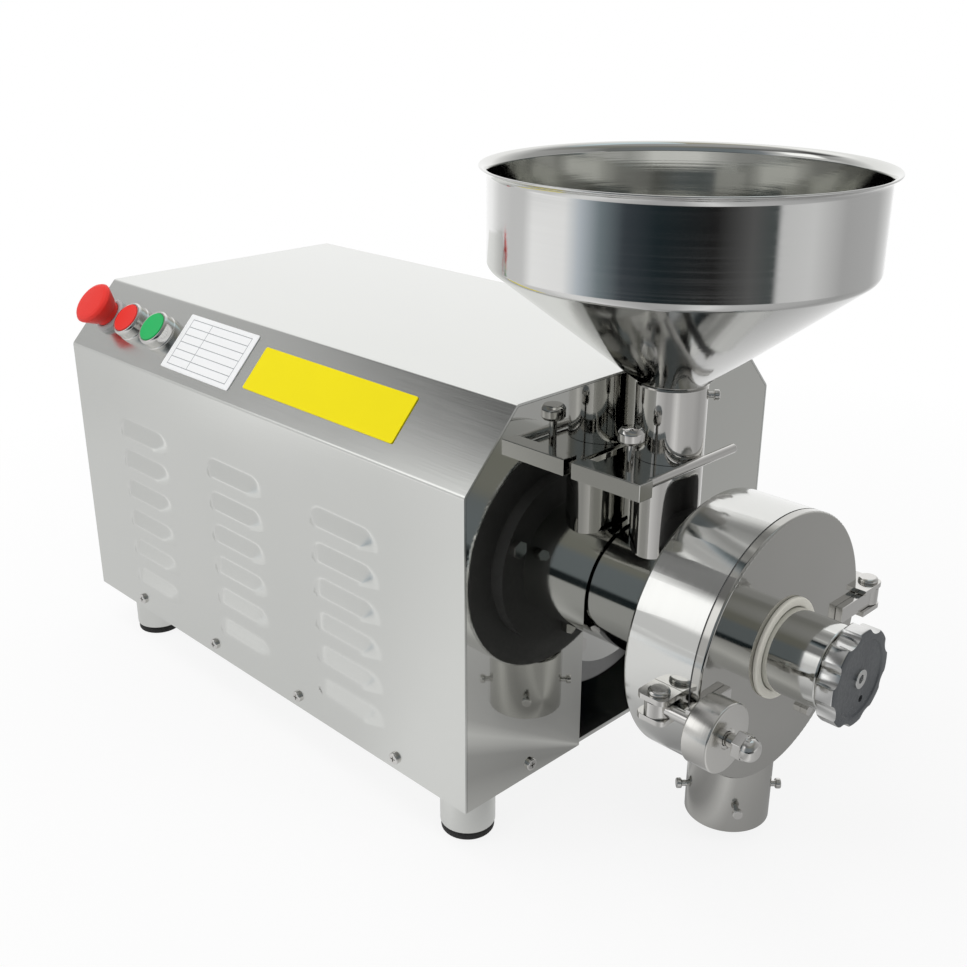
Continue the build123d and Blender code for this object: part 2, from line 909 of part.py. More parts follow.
def feed_auger():
    start = motor_face + flange_thickness + auger_end_gap
    stop = drum_back + drum_floor
    hub = bearing_bore + auger_hub_wall
    half = auger_blade_length / 2
    thick = auger_blade / 2
    blade = block((-half, hub - thick, -thick), (half, housing_bore - auger_gap, thick))
    blade = Rot(0, auger_slant, 0) * blade
    room = stop - start - auger_blade_length
    blades = []
    for index in range(auger_blades):
        share = index / (auger_blades - 1)
        place = Pos(start + half + room * share, 0, shaft_height) * Rot(360.0 * auger_turns * share, 0, 0)
        blades.append(place * blade)
    return shaft_tube(start, stop, hub, press_bore) + blades


def grinding_drum():
    inner = drum_back + drum_floor
    cup = fillet(far_rim(shaft_rod(drum_back, drum_front, drum_radius), Axis.X, False), drum_edge)
    cup = cup - shaft_rod(inner, drum_front, drum_bore) - shaft_rod(drum_back, inner, housing_bore)
    cup = cup - rod((spout_x, 0, shaft_height), downward, outlet_hole, drum_radius + drum_wall)
    return cup - [rod(at, along_x, bolt_radius + hole_gap, drum_floor) for at in drum_bolt_places(drum_back)]


def cover_gasket():
    outer = drum_radius - gasket_inset
    return shaft_tube(drum_front, cover_back, outer, outer - gasket_width)


def front_cover():
    disc = fillet(far_rim(shaft_rod(cover_back, cover_front, drum_radius), Axis.X), cover_edge)
    disc = disc - shaft_rod(cover_back, cover_front, spindle_radius + spindle_gap)
    disc = disc - rod(stop_bolt_point(cover_back), along_x, stop_bolt_radius + fit_gap, cover_thickness)
    for angle in turns(guide_pins, 90):
        at = shaft_point(cover_back, guide_pin_circle, angle)
        disc = disc - rod(at, along_x, guide_pin_radius + running_gap, guide_hole_depth)
    return disc


def hub_ring():
    outer = hub_radius + hub_ring_height
    ring = shaft_tube(cover_front, cover_front + hub_ring_width, outer, hub_radius + running_gap)
    return fillet(ring.edges().filter_by(GeomType.CIRCLE).sort_by(Axis.X)[-2:], hub_ring_round)


def hub_tube():
    body = shaft_tube(cover_front, hub_front, hub_radius, spindle_radius + running_gap)
    return chamfer(body.edges().filter_by(GeomType.CIRCLE).sort_by(Axis.X)[-2:], hub_edge)


# Stones
def runner_carrier():
    disc = shaft_rod(runner_back, runner_seat, stone_radius - carrier_inset)
    disc = disc + shaft_rod(runner_back, nut_seat, carrier_hub)
    window = (stone_eye - carrier_hub) / 2 - window_gap
    for angle in turns(carrier_windows):
        at = shaft_point(runner_back, (stone_eye + carrier_hub) / 2, angle)
        disc = disc - rod(at, along_x, window, carrier_thickness)
    return disc - shaft_rod(runner_back, nut_seat, press_bore)


def furrowed(stone, eye, face):
    half = furrow_width / 2
    outer = stone_radius - furrow_margin
    furrow = block((face - furrow_depth, eye, -half), (face + furrow_depth, outer, half))
    slanted = Rot(furrow_slant, 0, 0) * Pos(0, 0, -furrow_lead) * furrow
    steps = [Rot(360.0 * i / furrow_count, 0, 0) for i in range(furrow_count)]
    return stone - [Pos(0, 0, shaft_height) * step * slanted for step in steps]


def runner_stone():
    return furrowed(shaft_tube(runner_seat, runner_face, stone_radius, stone_eye), stone_eye, runner_face)


def fixed_stone():
    eye = spindle_radius + spindle_eye_gap
    return furrowed(shaft_tube(fixed_face, fixed_seat, stone_radius, eye), eye, fixed_face)


def shaft_nut():
    at = (nut_seat, 0, shaft_height)
    outline = RegularPolygon(bearing_bore + shaft_nut_width, 6)
    nut = extrude(Plane(origin=at, z_dir=along_x) * outline, shaft_nut_length)
    return nut - shaft_rod(nut_seat, shaft_end, press_bore)


def stone_carrier():
    disc = shaft_tube(fixed_seat, fixed_front, stone_radius - carrier_inset, spindle_tip + running_gap)
    for angle in turns(guide_pins, 90):
        at = shaft_point(fixed_front - guide_pin_root, guide_pin_circle, angle)
        disc = disc + rod(at, along_x, guide_pin_radius, guide_pin_root + adjust_room + guide_pin_entry)
    return disc


def adjuster_spindle():
    lip = fixed_seat - axial_gap
    collar = fixed_front + axial_gap
    end = knob_front - knob_recess - knob_web
    outline = [(lip - spindle_lip, 0), (lip - spindle_lip, spindle_radius), (lip, spindle_radius)]
    outline += [(lip, spindle_tip), (collar, spindle_tip), (collar, spindle_radius)]
    outline += [(knob_back, spindle_radius), (knob_back, spindle_tip), (end, spindle_tip), (end, 0)]
    return lathe_x(outline)


def adjuster_knob():
    outline = Circle(knob_radius)
    centre = knob_radius - knob_flute_depth + knob_flute
    for angle in turns(knob_lobes, 180.0 / knob_lobes):
        outline = outline - Pos(centre * cos(angle), centre * sin(angle)) * Circle(knob_flute)
    face = Plane(origin=(knob_back, 0, shaft_height), x_dir=along_y, z_dir=along_x) * outline
    body = extrude(face, knob_length)
    body = body - shaft_rod(knob_back, knob_front - knob_recess - knob_web, spindle_tip + fit_gap)
    return body - shaft_rod(knob_front - knob_recess, knob_front, knob_screw_radius + hole_gap)


def knob_screw():
    start = knob_front - knob_recess
    top = knob_front + knob_screw_proud
    floor = (start + knob_socket_floor, 0, shaft_height)
    socket = Plane(origin=floor, z_dir=along_x) * RegularPolygon(knob_socket, 6)
    return shaft_rod(start, top, knob_screw_radius) - extrude(socket, top - start)


# Hinge and clamp of the cover
def hinge_strap():
    low = shaft_height - hinge_strap_height / 2
    top = low + hinge_strap_height
    strap = block((cover_front, strap_inner, low), (strap_front, hinge_side, top))
    strap = strap + rod((hinge_x, hinge_side, low), along_z, knuckle_radius, hinge_strap_height)
    return strap - rod((hinge_x, hinge_side, low), along_z, pin_radius + running_gap, hinge_strap_height)


def clamp_strap():
    half = clamp_strap_height / 2
    tip = clamp_side - prong_overlap
    gap = swing_bolt_radius + seat_gap
    strap = block((cover_front, tip, clamp_height - half), (strap_front, -strap_inner, clamp_height + half))
    slot_low = (cover_front, tip, clamp_height - gap)
    strap = strap - block(slot_low, (strap_front, clamp_side, clamp_height + gap))
    return strap - rod((cover_front, clamp_side, clamp_height), along_x, gap, strap_thickness)


def lug_pair(low_corner, high_corner, pin_at, middle, opening):
    drum = shaft_rod(low_corner[0], high_corner[0], drum_radius)
    lugs = []
    for low in (middle + opening / 2, middle - opening / 2 - lug_thickness):
        lug = block((*low_corner, low), (*high_corner, low + lug_thickness)) - drum
        corners = lug.edges().filter_by(Axis.Z).sort_by(lambda e: abs(e.center().Y))[-2:]
        lug = fillet(corners, lug_corner)
        lugs.append(lug - rod((*pin_at, low), along_z, pin_radius + fit_gap, lug_thickness))
    return lugs


def drum_lugs():
    low = (drum_front - hinge_lug_reach, 0)
    high = (hinge_x + knuckle_radius, hinge_side + knuckle_radius)
    hinge = lug_pair(low, high, (hinge_x, hinge_side), shaft_height, hinge_opening)
    low = (clamp_x - clamp_lug_back, clamp_side - eye_radius)
    high = (clamp_x + clamp_lug_front, 0)
    return hinge + lug_pair(low, high, (clamp_x, clamp_side), clamp_height, clamp_opening)


def headed_pin(x, y, middle, opening):
    low = middle - opening / 2 - lug_thickness - pin_tail
    top = middle + opening / 2 + lug_thickness
    head = rod((x, y, top), along_z, pin_head_radius, pin_head_height)
    head = fillet(far_rim(head, Axis.Z), pin_head_height * 2 / 3)
    return head + rod((x, y, low), along_z, pin_radius, top - low)


def pivot_pins():
    hinge = headed_pin(hinge_x, hinge_side, shaft_height, hinge_opening)
    return [hinge, headed_pin(clamp_x, clamp_side, clamp_height, clamp_opening)]


def swing_bolt():
    low = clamp_height - eye_height / 2
    reach = cap_back + cap_nut_thread - clamp_x
    eye = rod((clamp_x, clamp_side, low), along_z, eye_radius, eye_height)
    shank = rod((clamp_x, clamp_side, clamp_height), along_x, swing_bolt_radius, reach)
    return eye + shank - rod((clamp_x, clamp_side, low), along_z, pin_radius + running_gap, eye_height)


def clamp_point(x):
    return (x, clamp_side, clamp_height)


def clamp_washer():
    bore = swing_bolt_radius + running_gap
    return tube(clamp_point(washer_back), along_x, washer_radius, bore, washer_thickness)


def hand_nut():
    nut = rod(clamp_point(nut_back), along_x, hand_nut_radius, hand_nut_length)
    nut = fillet(nut.edges().filter_by(GeomType.CIRCLE), hand_nut_edge)
    return nut - rod(clamp_point(nut_back), along_x, swing_bolt_radius + running_gap, hand_nut_length)


def cap_nut():
    at = clamp_point(cap_back)
    nut = extrude(Plane(origin=at, z_dir=along_x) * RegularPolygon(cap_nut_radius, 6), cap_nut_hex)
    dome_radius = cap_nut_radius - cap_nut_land
    dome = rod(at, along_x, dome_radius, cap_nut_length)
    dome = fillet(far_rim(dome, Axis.X), min(dome_radius, cap_nut_length) - cap_nut_land)
    return nut + dome - rod(at, along_x, swing_bolt_radius + fit_gap, cap_nut_thread)


# Feed tube, gate and hopper
def hopper_screw():
    outward = (cos(pi / 4), sin(pi / 4), 0)
    return (feed_x + feed_radius * outward[0], feed_radius * outward[1], feed_top - feed_screw_drop), outward


def spout_screws():
    for angle in turns(spout_screws_count, 45):
        outward = (cos(angle), sin(angle), 0)
        x = spout_x + spout_radius * outward[0]
        yield (x, spout_radius * outward[1], spout_end + spout_screw_rise), outward


def thumb_screws():
    screws = [thumb_screw(*hopper_screw(), feed_wall)]
    return screws + [thumb_screw(at, outward, spout_wall) for at, outward in spout_screws()]


def feed_tube():
    body = tube((feed_x, 0, shaft_height), along_z, feed_radius, feed_bore, feed_top - shaft_height)
    body = body - shaft_rod(motor_face, drum_back, housing_radius)
    low = (feed_x - feed_radius, -feed_radius, gate_level - axial_gap)
    slot = block(low, (feed_x + feed_radius, 0, gate_top + axial_gap))
    return body - slot - thumb_hole(*hopper_screw(), feed_wall)


def gate_plate():
    seat = feed_bore - seat_gap
    low = (feed_x - feed_radius, hem_inner, gate_level)
    plate = block(low, (feed_x + feed_radius, -gate_shoulder, gate_top))
    tongue = rod((feed_x, 0, gate_level), along_z, seat, gate_thickness)
    tongue = tongue & block((feed_x - seat, -seat, gate_level), (feed_x + seat, seat, gate_top))
    hem_front = rod_x + gate_rod_radius
    hem = block((gate_rear_gap, -gate_reach, hem_top - gate_hem_height), (hem_front, hem_inner, hem_top))
    return plate + tongue + hem


def gate_rod():
    handle = rod((rod_x, hem_inner, hem_top - gate_rod_radius), along_y, gate_rod_radius, gate_rod_length)
    return chamfer(far_rim(handle, Axis.Y), gate_rod_edge)


def gate_knob():
    low = gate_top + gate_stem_height
    top = low + gate_knob_height
    rim = gate_knob_radius - gate_knob_edge
    outline = [(0, gate_top), (gate_stem_radius, gate_top), (gate_stem_radius, low), (rim, low)]
    outline += [(gate_knob_radius, low + gate_knob_edge), (gate_knob_radius, top - gate_knob_edge)]
    return lathe_z(outline + [(rim, top), (0, top)], feed_x + gate_knob_offset, -gate_knob_side)


def hopper():
    neck = hopper_neck_radius
    seat = feed_top + hopper_seat_gap
    bowl = hopper_radius - hopper_wall
    bore = neck - hopper_wall
    lift = hopper_wall / cos(radians(hopper_slope))
    corner = seat + (hopper_radius - neck) * hopper_pitch
    inner_corner = seat + lift + (bowl - neck) * hopper_pitch
    inner_seat = seat + lift - hopper_wall * hopper_pitch
    top = corner + hopper_side
    flare_root = top - hopper_flare_rise
    edge = hopper_radius + hopper_flare
    outline = [(neck, seat - hopper_neck), (neck, seat), (hopper_radius, corner), (hopper_radius, flare_root)]
    outline += [(edge, top - hopper_lip), (edge - hopper_wall, top - hopper_lip), (bowl, flare_root)]
    outline += [(bowl, inner_corner), (bore, inner_seat), (bore, seat - hopper_neck)]
    roll = Pos(feed_x, 0, top - hopper_lip) * Torus(edge, hopper_lip)
    bead = Pos(feed_x, 0, corner + hopper_bead) * Torus(hopper_radius, hopper_bead)
    inside = rod((feed_x, 0, corner), along_z, bowl, hopper_side)
    return lathe_z(outline, feed_x) + roll + (bead - inside)


def outlet_spout():
    bore = spout_radius - spout_wall
    body = tube((spout_x, 0, spout_end), along_z, spout_radius, bore - spout_seat, shaft_height - spout_end)
    body = body - rod((spout_x, 0, spout_end), along_z, bore, spout_socket)
    body = body - shaft_rod(spout_x - spout_radius, spout_x + spout_radius, drum_radius + spout_seam)
    return body - [thumb_hole(at, outward, spout_wall) for at, outward in spout_screws()]


nodes = {
    "casing_shell": casing_shell(),
    "front_plate": front_plate(),
    "rear_plate": rear_plate(),
    "base_plate": base_plate(),
    "feet": feet(),
    "foot_pads": foot_pads(),
    "casing_screws": casing_screws(),
    "data_plate": label(data_plate_rear, data_plate_rear - data_plate_length, data_plate_width),
    "notice_plate": label(notice_rear, notice_front_margin, notice_width),
    "estop_collar": estop_collar(),
    "estop_head": estop_head(),
    "button_bezels": [button_bezel(1), button_bezel(2)],
    "stop_button": push_button(1),
    "start_button": push_button(2),
    "contact_blocks": contact_blocks(),
    "cable_gland": cable_gland(),
    "motor_frame": motor_frame(),
    "motor_front_shield": motor_front_shield(),
    "motor_rear_shield": motor_rear_shield(),
    "motor_bearings": motor_bearings(),
    "stator_core": stator_core(),
    "stator_winding": stator_winding(),
    "fan_cowl": fan_cowl(),
    "motor_cradle": motor_cradle(),
    "hex_bolts": hex_bolts(),
    "start_capacitor": start_capacitor(),
    "contactor": contactor(),
    "shaft": shaft(),
    "rotor_core": rotor_core(),
    "cooling_fan": cooling_fan(),
    "feed_auger": feed_auger(),
    "runner_carrier": runner_carrier(),
    "runner_stone": runner_stone(),
    "shaft_nut": shaft_nut(),
    "feed_housing": feed_housing(),
    "shaft_seal": shaft_seal(),
    "grinding_drum": grinding_drum(),
    "cover_gasket": cover_gasket(),
    "front_cover": front_cover(),
    "hub_ring": hub_ring(),
    "hub_tube": hub_tube(),
    "cover_straps": [hinge_strap(), clamp_strap()],
    "drum_lugs": drum_lugs(),
    "pivot_pins": pivot_pins(),
    "swing_bolt": swing_bolt(),
    "clamp_washer": clamp_washer(),
    "hand_nut": hand_nut(),
    "cap_nut": cap_nut(),
    "stone_carrier": stone_carrier(),
    "fixed_stone": fixed_stone(),
    "adjuster_spindle": adjuster_spindle(),
    "adjuster_knob": adjuster_knob(),
    "knob_screw": knob_screw(),
    "feed_tube": feed_tube(),
    "gate_plate": gate_plate(),
    "gate_rod": gate_rod(),
    "gate_knob": gate_knob(),
    "hopper": hopper(),
    "outlet_spout": outlet_spout(),
    "thumb_screws": thumb_screws(),
}

# Write one file per piece, with the origin at the bottom centre of the whole mill
pieces = {name: shape if isinstance(shape, list) else [shape] for name, shape in nodes.items()}
solids = {name: [s for piece in group for s in piece.solids()] for name, group in pieces.items()}
whole = Compound([s for group in solids.values() for s in group]).bounding_box()
origin = Pos(-whole.center().X, -whole.center().Y, -whole.min.Z)
print("moved by", [round(v, 4) for v in origin.position], "size", [round(v, 2) for v in whole.size])
os.makedirs("parts", exist_ok=True)
for name, group in solids.items():
    placed = [origin * s for s in group]
    export_step(Compound(placed) if len(placed) > 1 else placed[0], f"parts/{name}.step")
print(len(solids), "pieces written")
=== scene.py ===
import json
import math

import bpy
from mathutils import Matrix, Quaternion, Vector

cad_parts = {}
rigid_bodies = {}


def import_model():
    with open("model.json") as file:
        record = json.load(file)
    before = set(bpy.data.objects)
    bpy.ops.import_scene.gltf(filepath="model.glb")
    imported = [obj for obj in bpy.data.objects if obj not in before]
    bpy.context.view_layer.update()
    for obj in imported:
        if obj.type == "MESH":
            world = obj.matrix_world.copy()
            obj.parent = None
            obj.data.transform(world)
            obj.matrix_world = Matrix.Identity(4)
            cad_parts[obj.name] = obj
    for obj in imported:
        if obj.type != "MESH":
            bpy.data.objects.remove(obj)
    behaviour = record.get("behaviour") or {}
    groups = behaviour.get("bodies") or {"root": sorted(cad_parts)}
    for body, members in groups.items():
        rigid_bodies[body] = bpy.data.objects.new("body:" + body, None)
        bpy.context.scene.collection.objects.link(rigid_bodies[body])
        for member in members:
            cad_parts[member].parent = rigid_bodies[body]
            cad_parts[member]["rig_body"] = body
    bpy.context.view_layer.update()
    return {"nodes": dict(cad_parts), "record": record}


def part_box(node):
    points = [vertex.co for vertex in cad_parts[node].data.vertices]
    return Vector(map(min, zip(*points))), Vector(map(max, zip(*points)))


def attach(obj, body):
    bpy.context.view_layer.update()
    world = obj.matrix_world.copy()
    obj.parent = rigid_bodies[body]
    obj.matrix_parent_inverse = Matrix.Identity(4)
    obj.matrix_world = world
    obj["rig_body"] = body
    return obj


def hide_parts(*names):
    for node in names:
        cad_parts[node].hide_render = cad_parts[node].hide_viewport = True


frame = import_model()
nodes = frame["nodes"]
print("stage: frame loaded,", len(nodes), "nodes")


# Camera, at the photograph's viewing angle
camSet = {
    "place": (0.59787, -0.57743, 0.50581),
    "azimuth": 45.268,      # degrees round from straight in front
    "elevation": 22.053,
    "roll": 0.095,
    "lens": 45.17,
    "sensor": 36.0,
    "clip": (0.01, 60.0),
}


def lookBack(azimuth, elevation):
    az = math.radians(azimuth)
    el = math.radians(elevation)
    return Vector((math.sin(az) * math.cos(el), -math.cos(az) * math.cos(el), math.sin(el)))


def addCamera():
    back = lookBack(camSet["azimuth"], camSet["elevation"])
    bpy.ops.object.camera_add(location=camSet["place"])
    cam = bpy.context.object
    cam.name = "photoCamera"
    cam.rotation_mode = "QUATERNION"
    roll = Quaternion((0, 0, 1), math.radians(camSet["roll"]))
    cam.rotation_quaternion = (-back).to_track_quat("-Z", "Y") @ roll
    cam.data.lens = camSet["lens"]
    cam.data.sensor_width = camSet["sensor"]
    cam.data.clip_start, cam.data.clip_end = camSet["clip"]
    bpy.context.scene.camera = cam


addCamera()
print("stage: camera set")


# Small helpers for node trees
def addNode(tree, kind, values=None, **settings):
    made = tree.nodes.new(kind)
    for key, value in settings.items():
        setattr(made, key, value)
    for key, value in (values or {}).items():
        if isinstance(value, bpy.types.NodeSocket):
            tree.links.new(value, made.inputs[key])
        else:
            made.inputs[key].default_value = value
    return made


def mathNode(tree, operation, a, b=0.0):
    return addNode(tree, "ShaderNodeMath", {0: a, 1: b}, operation=operation).outputs[0]


def vectorNode(tree, operation, a, b=(0.0, 0.0, 0.0)):
    made = addNode(tree, "ShaderNodeVectorMath", {0: a, 1: b}, operation=operation)
    return made.outputs["Value" if operation in ("DOT_PRODUCT", "LENGTH") else "Vector"]


def rangeNode(tree, value, given, wanted=(0.0, 1.0)):
    spans = {0: value, 1: given[0], 2: given[1], 3: wanted[0], 4: wanted[1]}
    return addNode(tree, "ShaderNodeMapRange", spans).outputs[0]


def rampNode(tree, value, stops):
    ramp = addNode(tree, "ShaderNodeValToRGB", {"Fac": value})
    marks = ramp.color_ramp.elements
    for mark, (place, colour) in ((marks[1], stops[-1]), (marks[0], stops[0])):
        mark.position = place
        mark.color = (*colour, 1.0)
    for place, colour in stops[1:-1]:
        marks.new(place).color = (*colour, 1.0)
    return ramp.outputs["Color"]


def mixColour(tree, share, a, b):
    mixed = addNode(tree, "ShaderNodeMix", data_type="RGBA")
    for socket, value in ((mixed.inputs[0], share), (mixed.inputs[6], a), (mixed.inputs[7], b)):
        if isinstance(value, bpy.types.NodeSocket):
            tree.links.new(value, socket)
        elif isinstance(value, (int, float)):
            socket.default_value = value
        else:
            socket.default_value = (*value, 1.0)
    return mixed.outputs[2]


def grey(value):
    return (value, value, value)


# Studio: a pale table and backdrop, a softbox on the left and a dim room behind the camera
# angles in degrees round from the camera, to the right; low is near the horizon, and mid, high and above
# follow upwards; floor is the table; the gap is a duller strip between the table and the softbox
studioSet = {
    "low": [(-180, grey(1.06)), (-150, grey(1.05)), (-136, grey(0.78)), (-120, grey(0.68)),
            (-108, grey(0.70)), (-100, grey(1.02)), (-76, grey(0.98)), (-66, (0.55, 0.60, 0.65)),
            (-54, (0.20, 0.24, 0.26)), (-40, (0.05, 0.06, 0.07)), (-22, (0.015, 0.024, 0.028)),
            (8, grey(0.015)), (28, grey(0.11)), (38, (0.08, 0.09, 0.09)), (41, (0.08, 0.09, 0.09)),
            (44, grey(0.66)), (64, grey(0.72)), (88, grey(0.46)), (120, grey(0.50)), (142, grey(0.80)),
            (156, grey(1.05)), (180, grey(1.06))],
    "floor": [(-180, grey(1.05)), (-135, grey(0.74)), (-90, grey(0.74)), (-80, grey(0.86)), (-66, grey(0.86)),
              (-52, grey(0.68)), (-26, grey(0.47)), (-10, grey(0.50)), (0, grey(0.72)), (8, grey(0.84)),
              (20, grey(0.60)), (45, grey(0.52)), (64, grey(0.50)), (88, grey(0.42)), (120, grey(0.52)),
              (150, grey(0.95)), (180, grey(1.10))],
    "mid": [(-180, grey(1.06)), (-150, grey(1.05)), (-136, grey(0.75)), (-122, grey(0.56)),
            (-112, grey(0.46)), (-105, grey(0.44)), (-98, grey(1.42)), (-77, grey(1.35)), (-68, grey(0.60)),
            (-56, (0.24, 0.26, 0.28)), (-38, (0.18, 0.205, 0.22)), (0, (0.20, 0.225, 0.245)),
            (42, (0.20, 0.205, 0.20)), (60, grey(0.34)), (110, grey(0.45)), (142, grey(0.80)),
            (156, grey(1.05)), (180, grey(1.06))],
    "high": [(-180, grey(1.22)), (-152, grey(1.22)), (-140, grey(0.72)), (-130, grey(0.18)),
             (-118, grey(0.08)), (-108, grey(0.10)), (-99, grey(0.24)), (-60, grey(0.16)),
             (-8, (0.24, 0.24, 0.215)), (28, (0.26, 0.26, 0.235)), (60, (0.26, 0.26, 0.23)),
             (110, grey(0.34)), (150, grey(0.80)), (180, grey(1.22))],
    "above": [(-180, (0.44, 0.42, 0.33)), (-140, grey(0.46)), (-60, grey(0.42)), (96, grey(0.42)),
              (110, (0.72, 0.88, 0.94)), (158, (0.72, 0.88, 0.94)), (168, (0.44, 0.42, 0.33)),
              (180, (0.44, 0.42, 0.33))],
    "levels": {"mid": (2.0, 6.0), "high": (35.0, 42.0), "above": (52.0, 66.0)},    # degrees up, from and to
    "gapTurn": [(-120, grey(0.0)), (-110, grey(1.0)), (-70, grey(1.0)), (-60, grey(0.0))],
    "gapRise": (-2.0, 0.0, 12.5, 16.0),    # degrees up
    "gapFar": (1.70, 2.30),       # metres from the hopper's middle, where the table shows it
    "gapTone": grey(0.66),
    "ambient": 0.50,              # what lights matt surfaces
    "tableEdge": (0.95, 1.15),    # metres from the hopper's middle, where the room's dark floor takes over
    "tableFade": (0.35, 1.00),    # metres over which the seen table fades to plain white
    "tableShade": (0.05, 0.20),   # metres over which the mill's own shade on the table fades in reflections
    "shadeTone": 0.72,            # how bright that shade is
    "tableColour": grey(0.90),
    "tableLift": 0.86,            # share of plain white that the eye sees near the mill
    "mirrorLift": 0.75,           # the same share in reflections
    "tableSize": 40.0,
}


def turnRamp(tree, turn, stops):
    return rampNode(tree, turn, [((angle + 180) / 360, colour) for angle, colour in stops])


def turnFrom(tree, way):
    # 0 to 1 round the object, 0.5 straight towards the camera
    front = lookBack(camSet["azimuth"], 0.0)
    right = Vector((-front.y, front.x, 0.0))
    ahead = vectorNode(tree, "DOT_PRODUCT", way, front)
    aside = vectorNode(tree, "DOT_PRODUCT", way, right)
    angle = mathNode(tree, "ARCTAN2", aside, ahead)
    share = mathNode(tree, "MULTIPLY_ADD", angle, 0.5 / math.pi)
    share.node.inputs[2].default_value = 0.5
    return share


def addWorld():
    world = bpy.data.worlds.new("studio")
    bpy.context.scene.world = world
    world.use_nodes = True
    tree = world.node_tree
    tree.nodes.clear()
    way = addNode(tree, "ShaderNodeTexCoord").outputs["Generated"]
    rise = addNode(tree, "ShaderNodeSeparateXYZ", {0: way}).outputs["Z"]
    turn = turnFrom(tree, way)
    s = studioSet
    room = turnRamp(tree, turn, s["low"])
    for name in ("mid", "high", "above"):
        span = [math.sin(math.radians(angle)) for angle in s["levels"][name]]
        room = mixColour(tree, rangeNode(tree, rise, span), room, turnRamp(tree, turn, s[name]))
    marks = [math.sin(math.radians(angle)) for angle in s["gapRise"]]
    level = rampNode(tree, rise, list(zip(marks, (grey(0.0), grey(1.0), grey(1.0), grey(0.0)))))
    gap = mathNode(tree, "MULTIPLY", level, turnRamp(tree, turn, s["gapTurn"]))
    room = mixColour(tree, gap, room, s["gapTone"])
    path = addNode(tree, "ShaderNodeLightPath")
    shine = mathNode(tree, "MAXIMUM", path.outputs["Is Glossy Ray"], path.outputs["Is Transmission Ray"])
    plain = mixColour(tree, shine, grey(s["ambient"]), room)
    seen = mixColour(tree, path.outputs["Is Camera Ray"], plain, grey(1.0))
    light = addNode(tree, "ShaderNodeBackground", {"Color": seen, "Strength": 1.0})
    out = addNode(tree, "ShaderNodeOutputWorld")
    tree.links.new(light.outputs[0], out.inputs[0])


def addTable():
    s = studioSet
    bpy.ops.object.select_all(action="DESELECT")
    bpy.ops.mesh.primitive_plane_add(size=s["tableSize"], location=(0, 0, 0))
    table = bpy.context.object
    table.name = "paleTable"
    mat = bpy.data.materials.new("paleTable")
    mat.use_nodes = True
    tree = mat.node_tree
    tree.nodes.clear()
    place = addNode(tree, "ShaderNodeTexCoord").outputs["Object"]
    low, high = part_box("feed_tube")
    middle = Vector(((low.x + high.x) / 2, (low.y + high.y) / 2, 0))
    way = vectorNode(tree, "SUBTRACT", place, middle)
    far = vectorNode(tree, "LENGTH", way)
    past = rangeNode(tree, far, s["tableEdge"])
    faded = rangeNode(tree, far, s["tableFade"], (s["tableLift"], 1.0))
    turn = turnFrom(tree, way)
    # painted light and shade on the table, seen only in reflections: its tones change with the angle round
    # the mill, and a painted shadow of the mill lies near it
    mirrored = mixColour(tree, past, turnRamp(tree, turn, s["floor"]), turnRamp(tree, turn, s["low"]))
    gap = mathNode(tree, "MULTIPLY", rangeNode(tree, far, s["gapFar"]), turnRamp(tree, turn, s["gapTurn"]))
    mirrored = mixColour(tree, gap, mirrored, s["gapTone"])
    shade = rangeNode(tree, far, s["tableShade"], (s["shadeTone"], 1.0))
    mirrored = mixColour(tree, shade, grey(0.0), mirrored)
    path = addNode(tree, "ShaderNodeLightPath")
    shine = mathNode(tree, "MAXIMUM", path.outputs["Is Glossy Ray"], path.outputs["Is Transmission Ray"])
    mattColour = mixColour(tree, shine, s["tableColour"], mirrored)
    matt = addNode(tree, "ShaderNodeBsdfDiffuse", {"Color": mattColour})
    glowColour = mixColour(tree, shine, grey(1.0), mirrored)
    glow = addNode(tree, "ShaderNodeEmission", {"Color": glowColour, "Strength": 1.0})
    seen = mathNode(tree, "MULTIPLY", path.outputs["Is Camera Ray"], faded)
    share = mathNode(tree, "ADD", seen, mathNode(tree, "MULTIPLY", shine, s["mirrorLift"]))
    lift = mathNode(tree, "MAXIMUM", share, mathNode(tree, "MULTIPLY", shine, past))
    both = addNode(tree, "ShaderNodeMixShader", {0: lift})
    tree.links.new(matt.outputs[0], both.inputs[1])
    tree.links.new(glow.outputs[0], both.inputs[2])
    out = addNode(tree, "ShaderNodeOutputMaterial")
    tree.links.new(both.outputs[0], out.inputs[0])
    table.data.materials.append(mat)


lampSet = {
    "overhead": {"place": (-0.25, -0.35, 1.9), "aim": (0.0, 0.0, 0.15), "size": (1.5, 1.1), "watts": 13.0},
    "leftBox": {"place": (-1.1, -1.5, 1.0), "aim": (0.0, 0.0, 0.2), "size": (0.9, 1.2), "watts": 8.0},
    "rightBox": {"place": (1.5, 0.5, 0.9), "aim": (0.1, 0.0, 0.2), "size": (0.7, 1.1), "watts": 5.5},
}


def addLamps():
    for name, lamp in lampSet.items():
        place = Vector(lamp["place"])
        bpy.ops.object.light_add(type="AREA", location=place)
        made = bpy.context.object
        made.name = name
        made.data.shape = "RECTANGLE"
        made.data.size, made.data.size_y = lamp["size"]
        made.data.energy = lamp["watts"]
        made.rotation_mode = "QUATERNION"
        made.rotation_quaternion = (Vector(lamp["aim"]) - place).to_track_quat("-Z", "Y")
        made.visible_glossy = False      # metals mirror the painted studio instead


addWorld()
addTable()
addLamps()
bpy.context.scene.view_settings.view_transform = "Standard"
print("stage: studio lit")


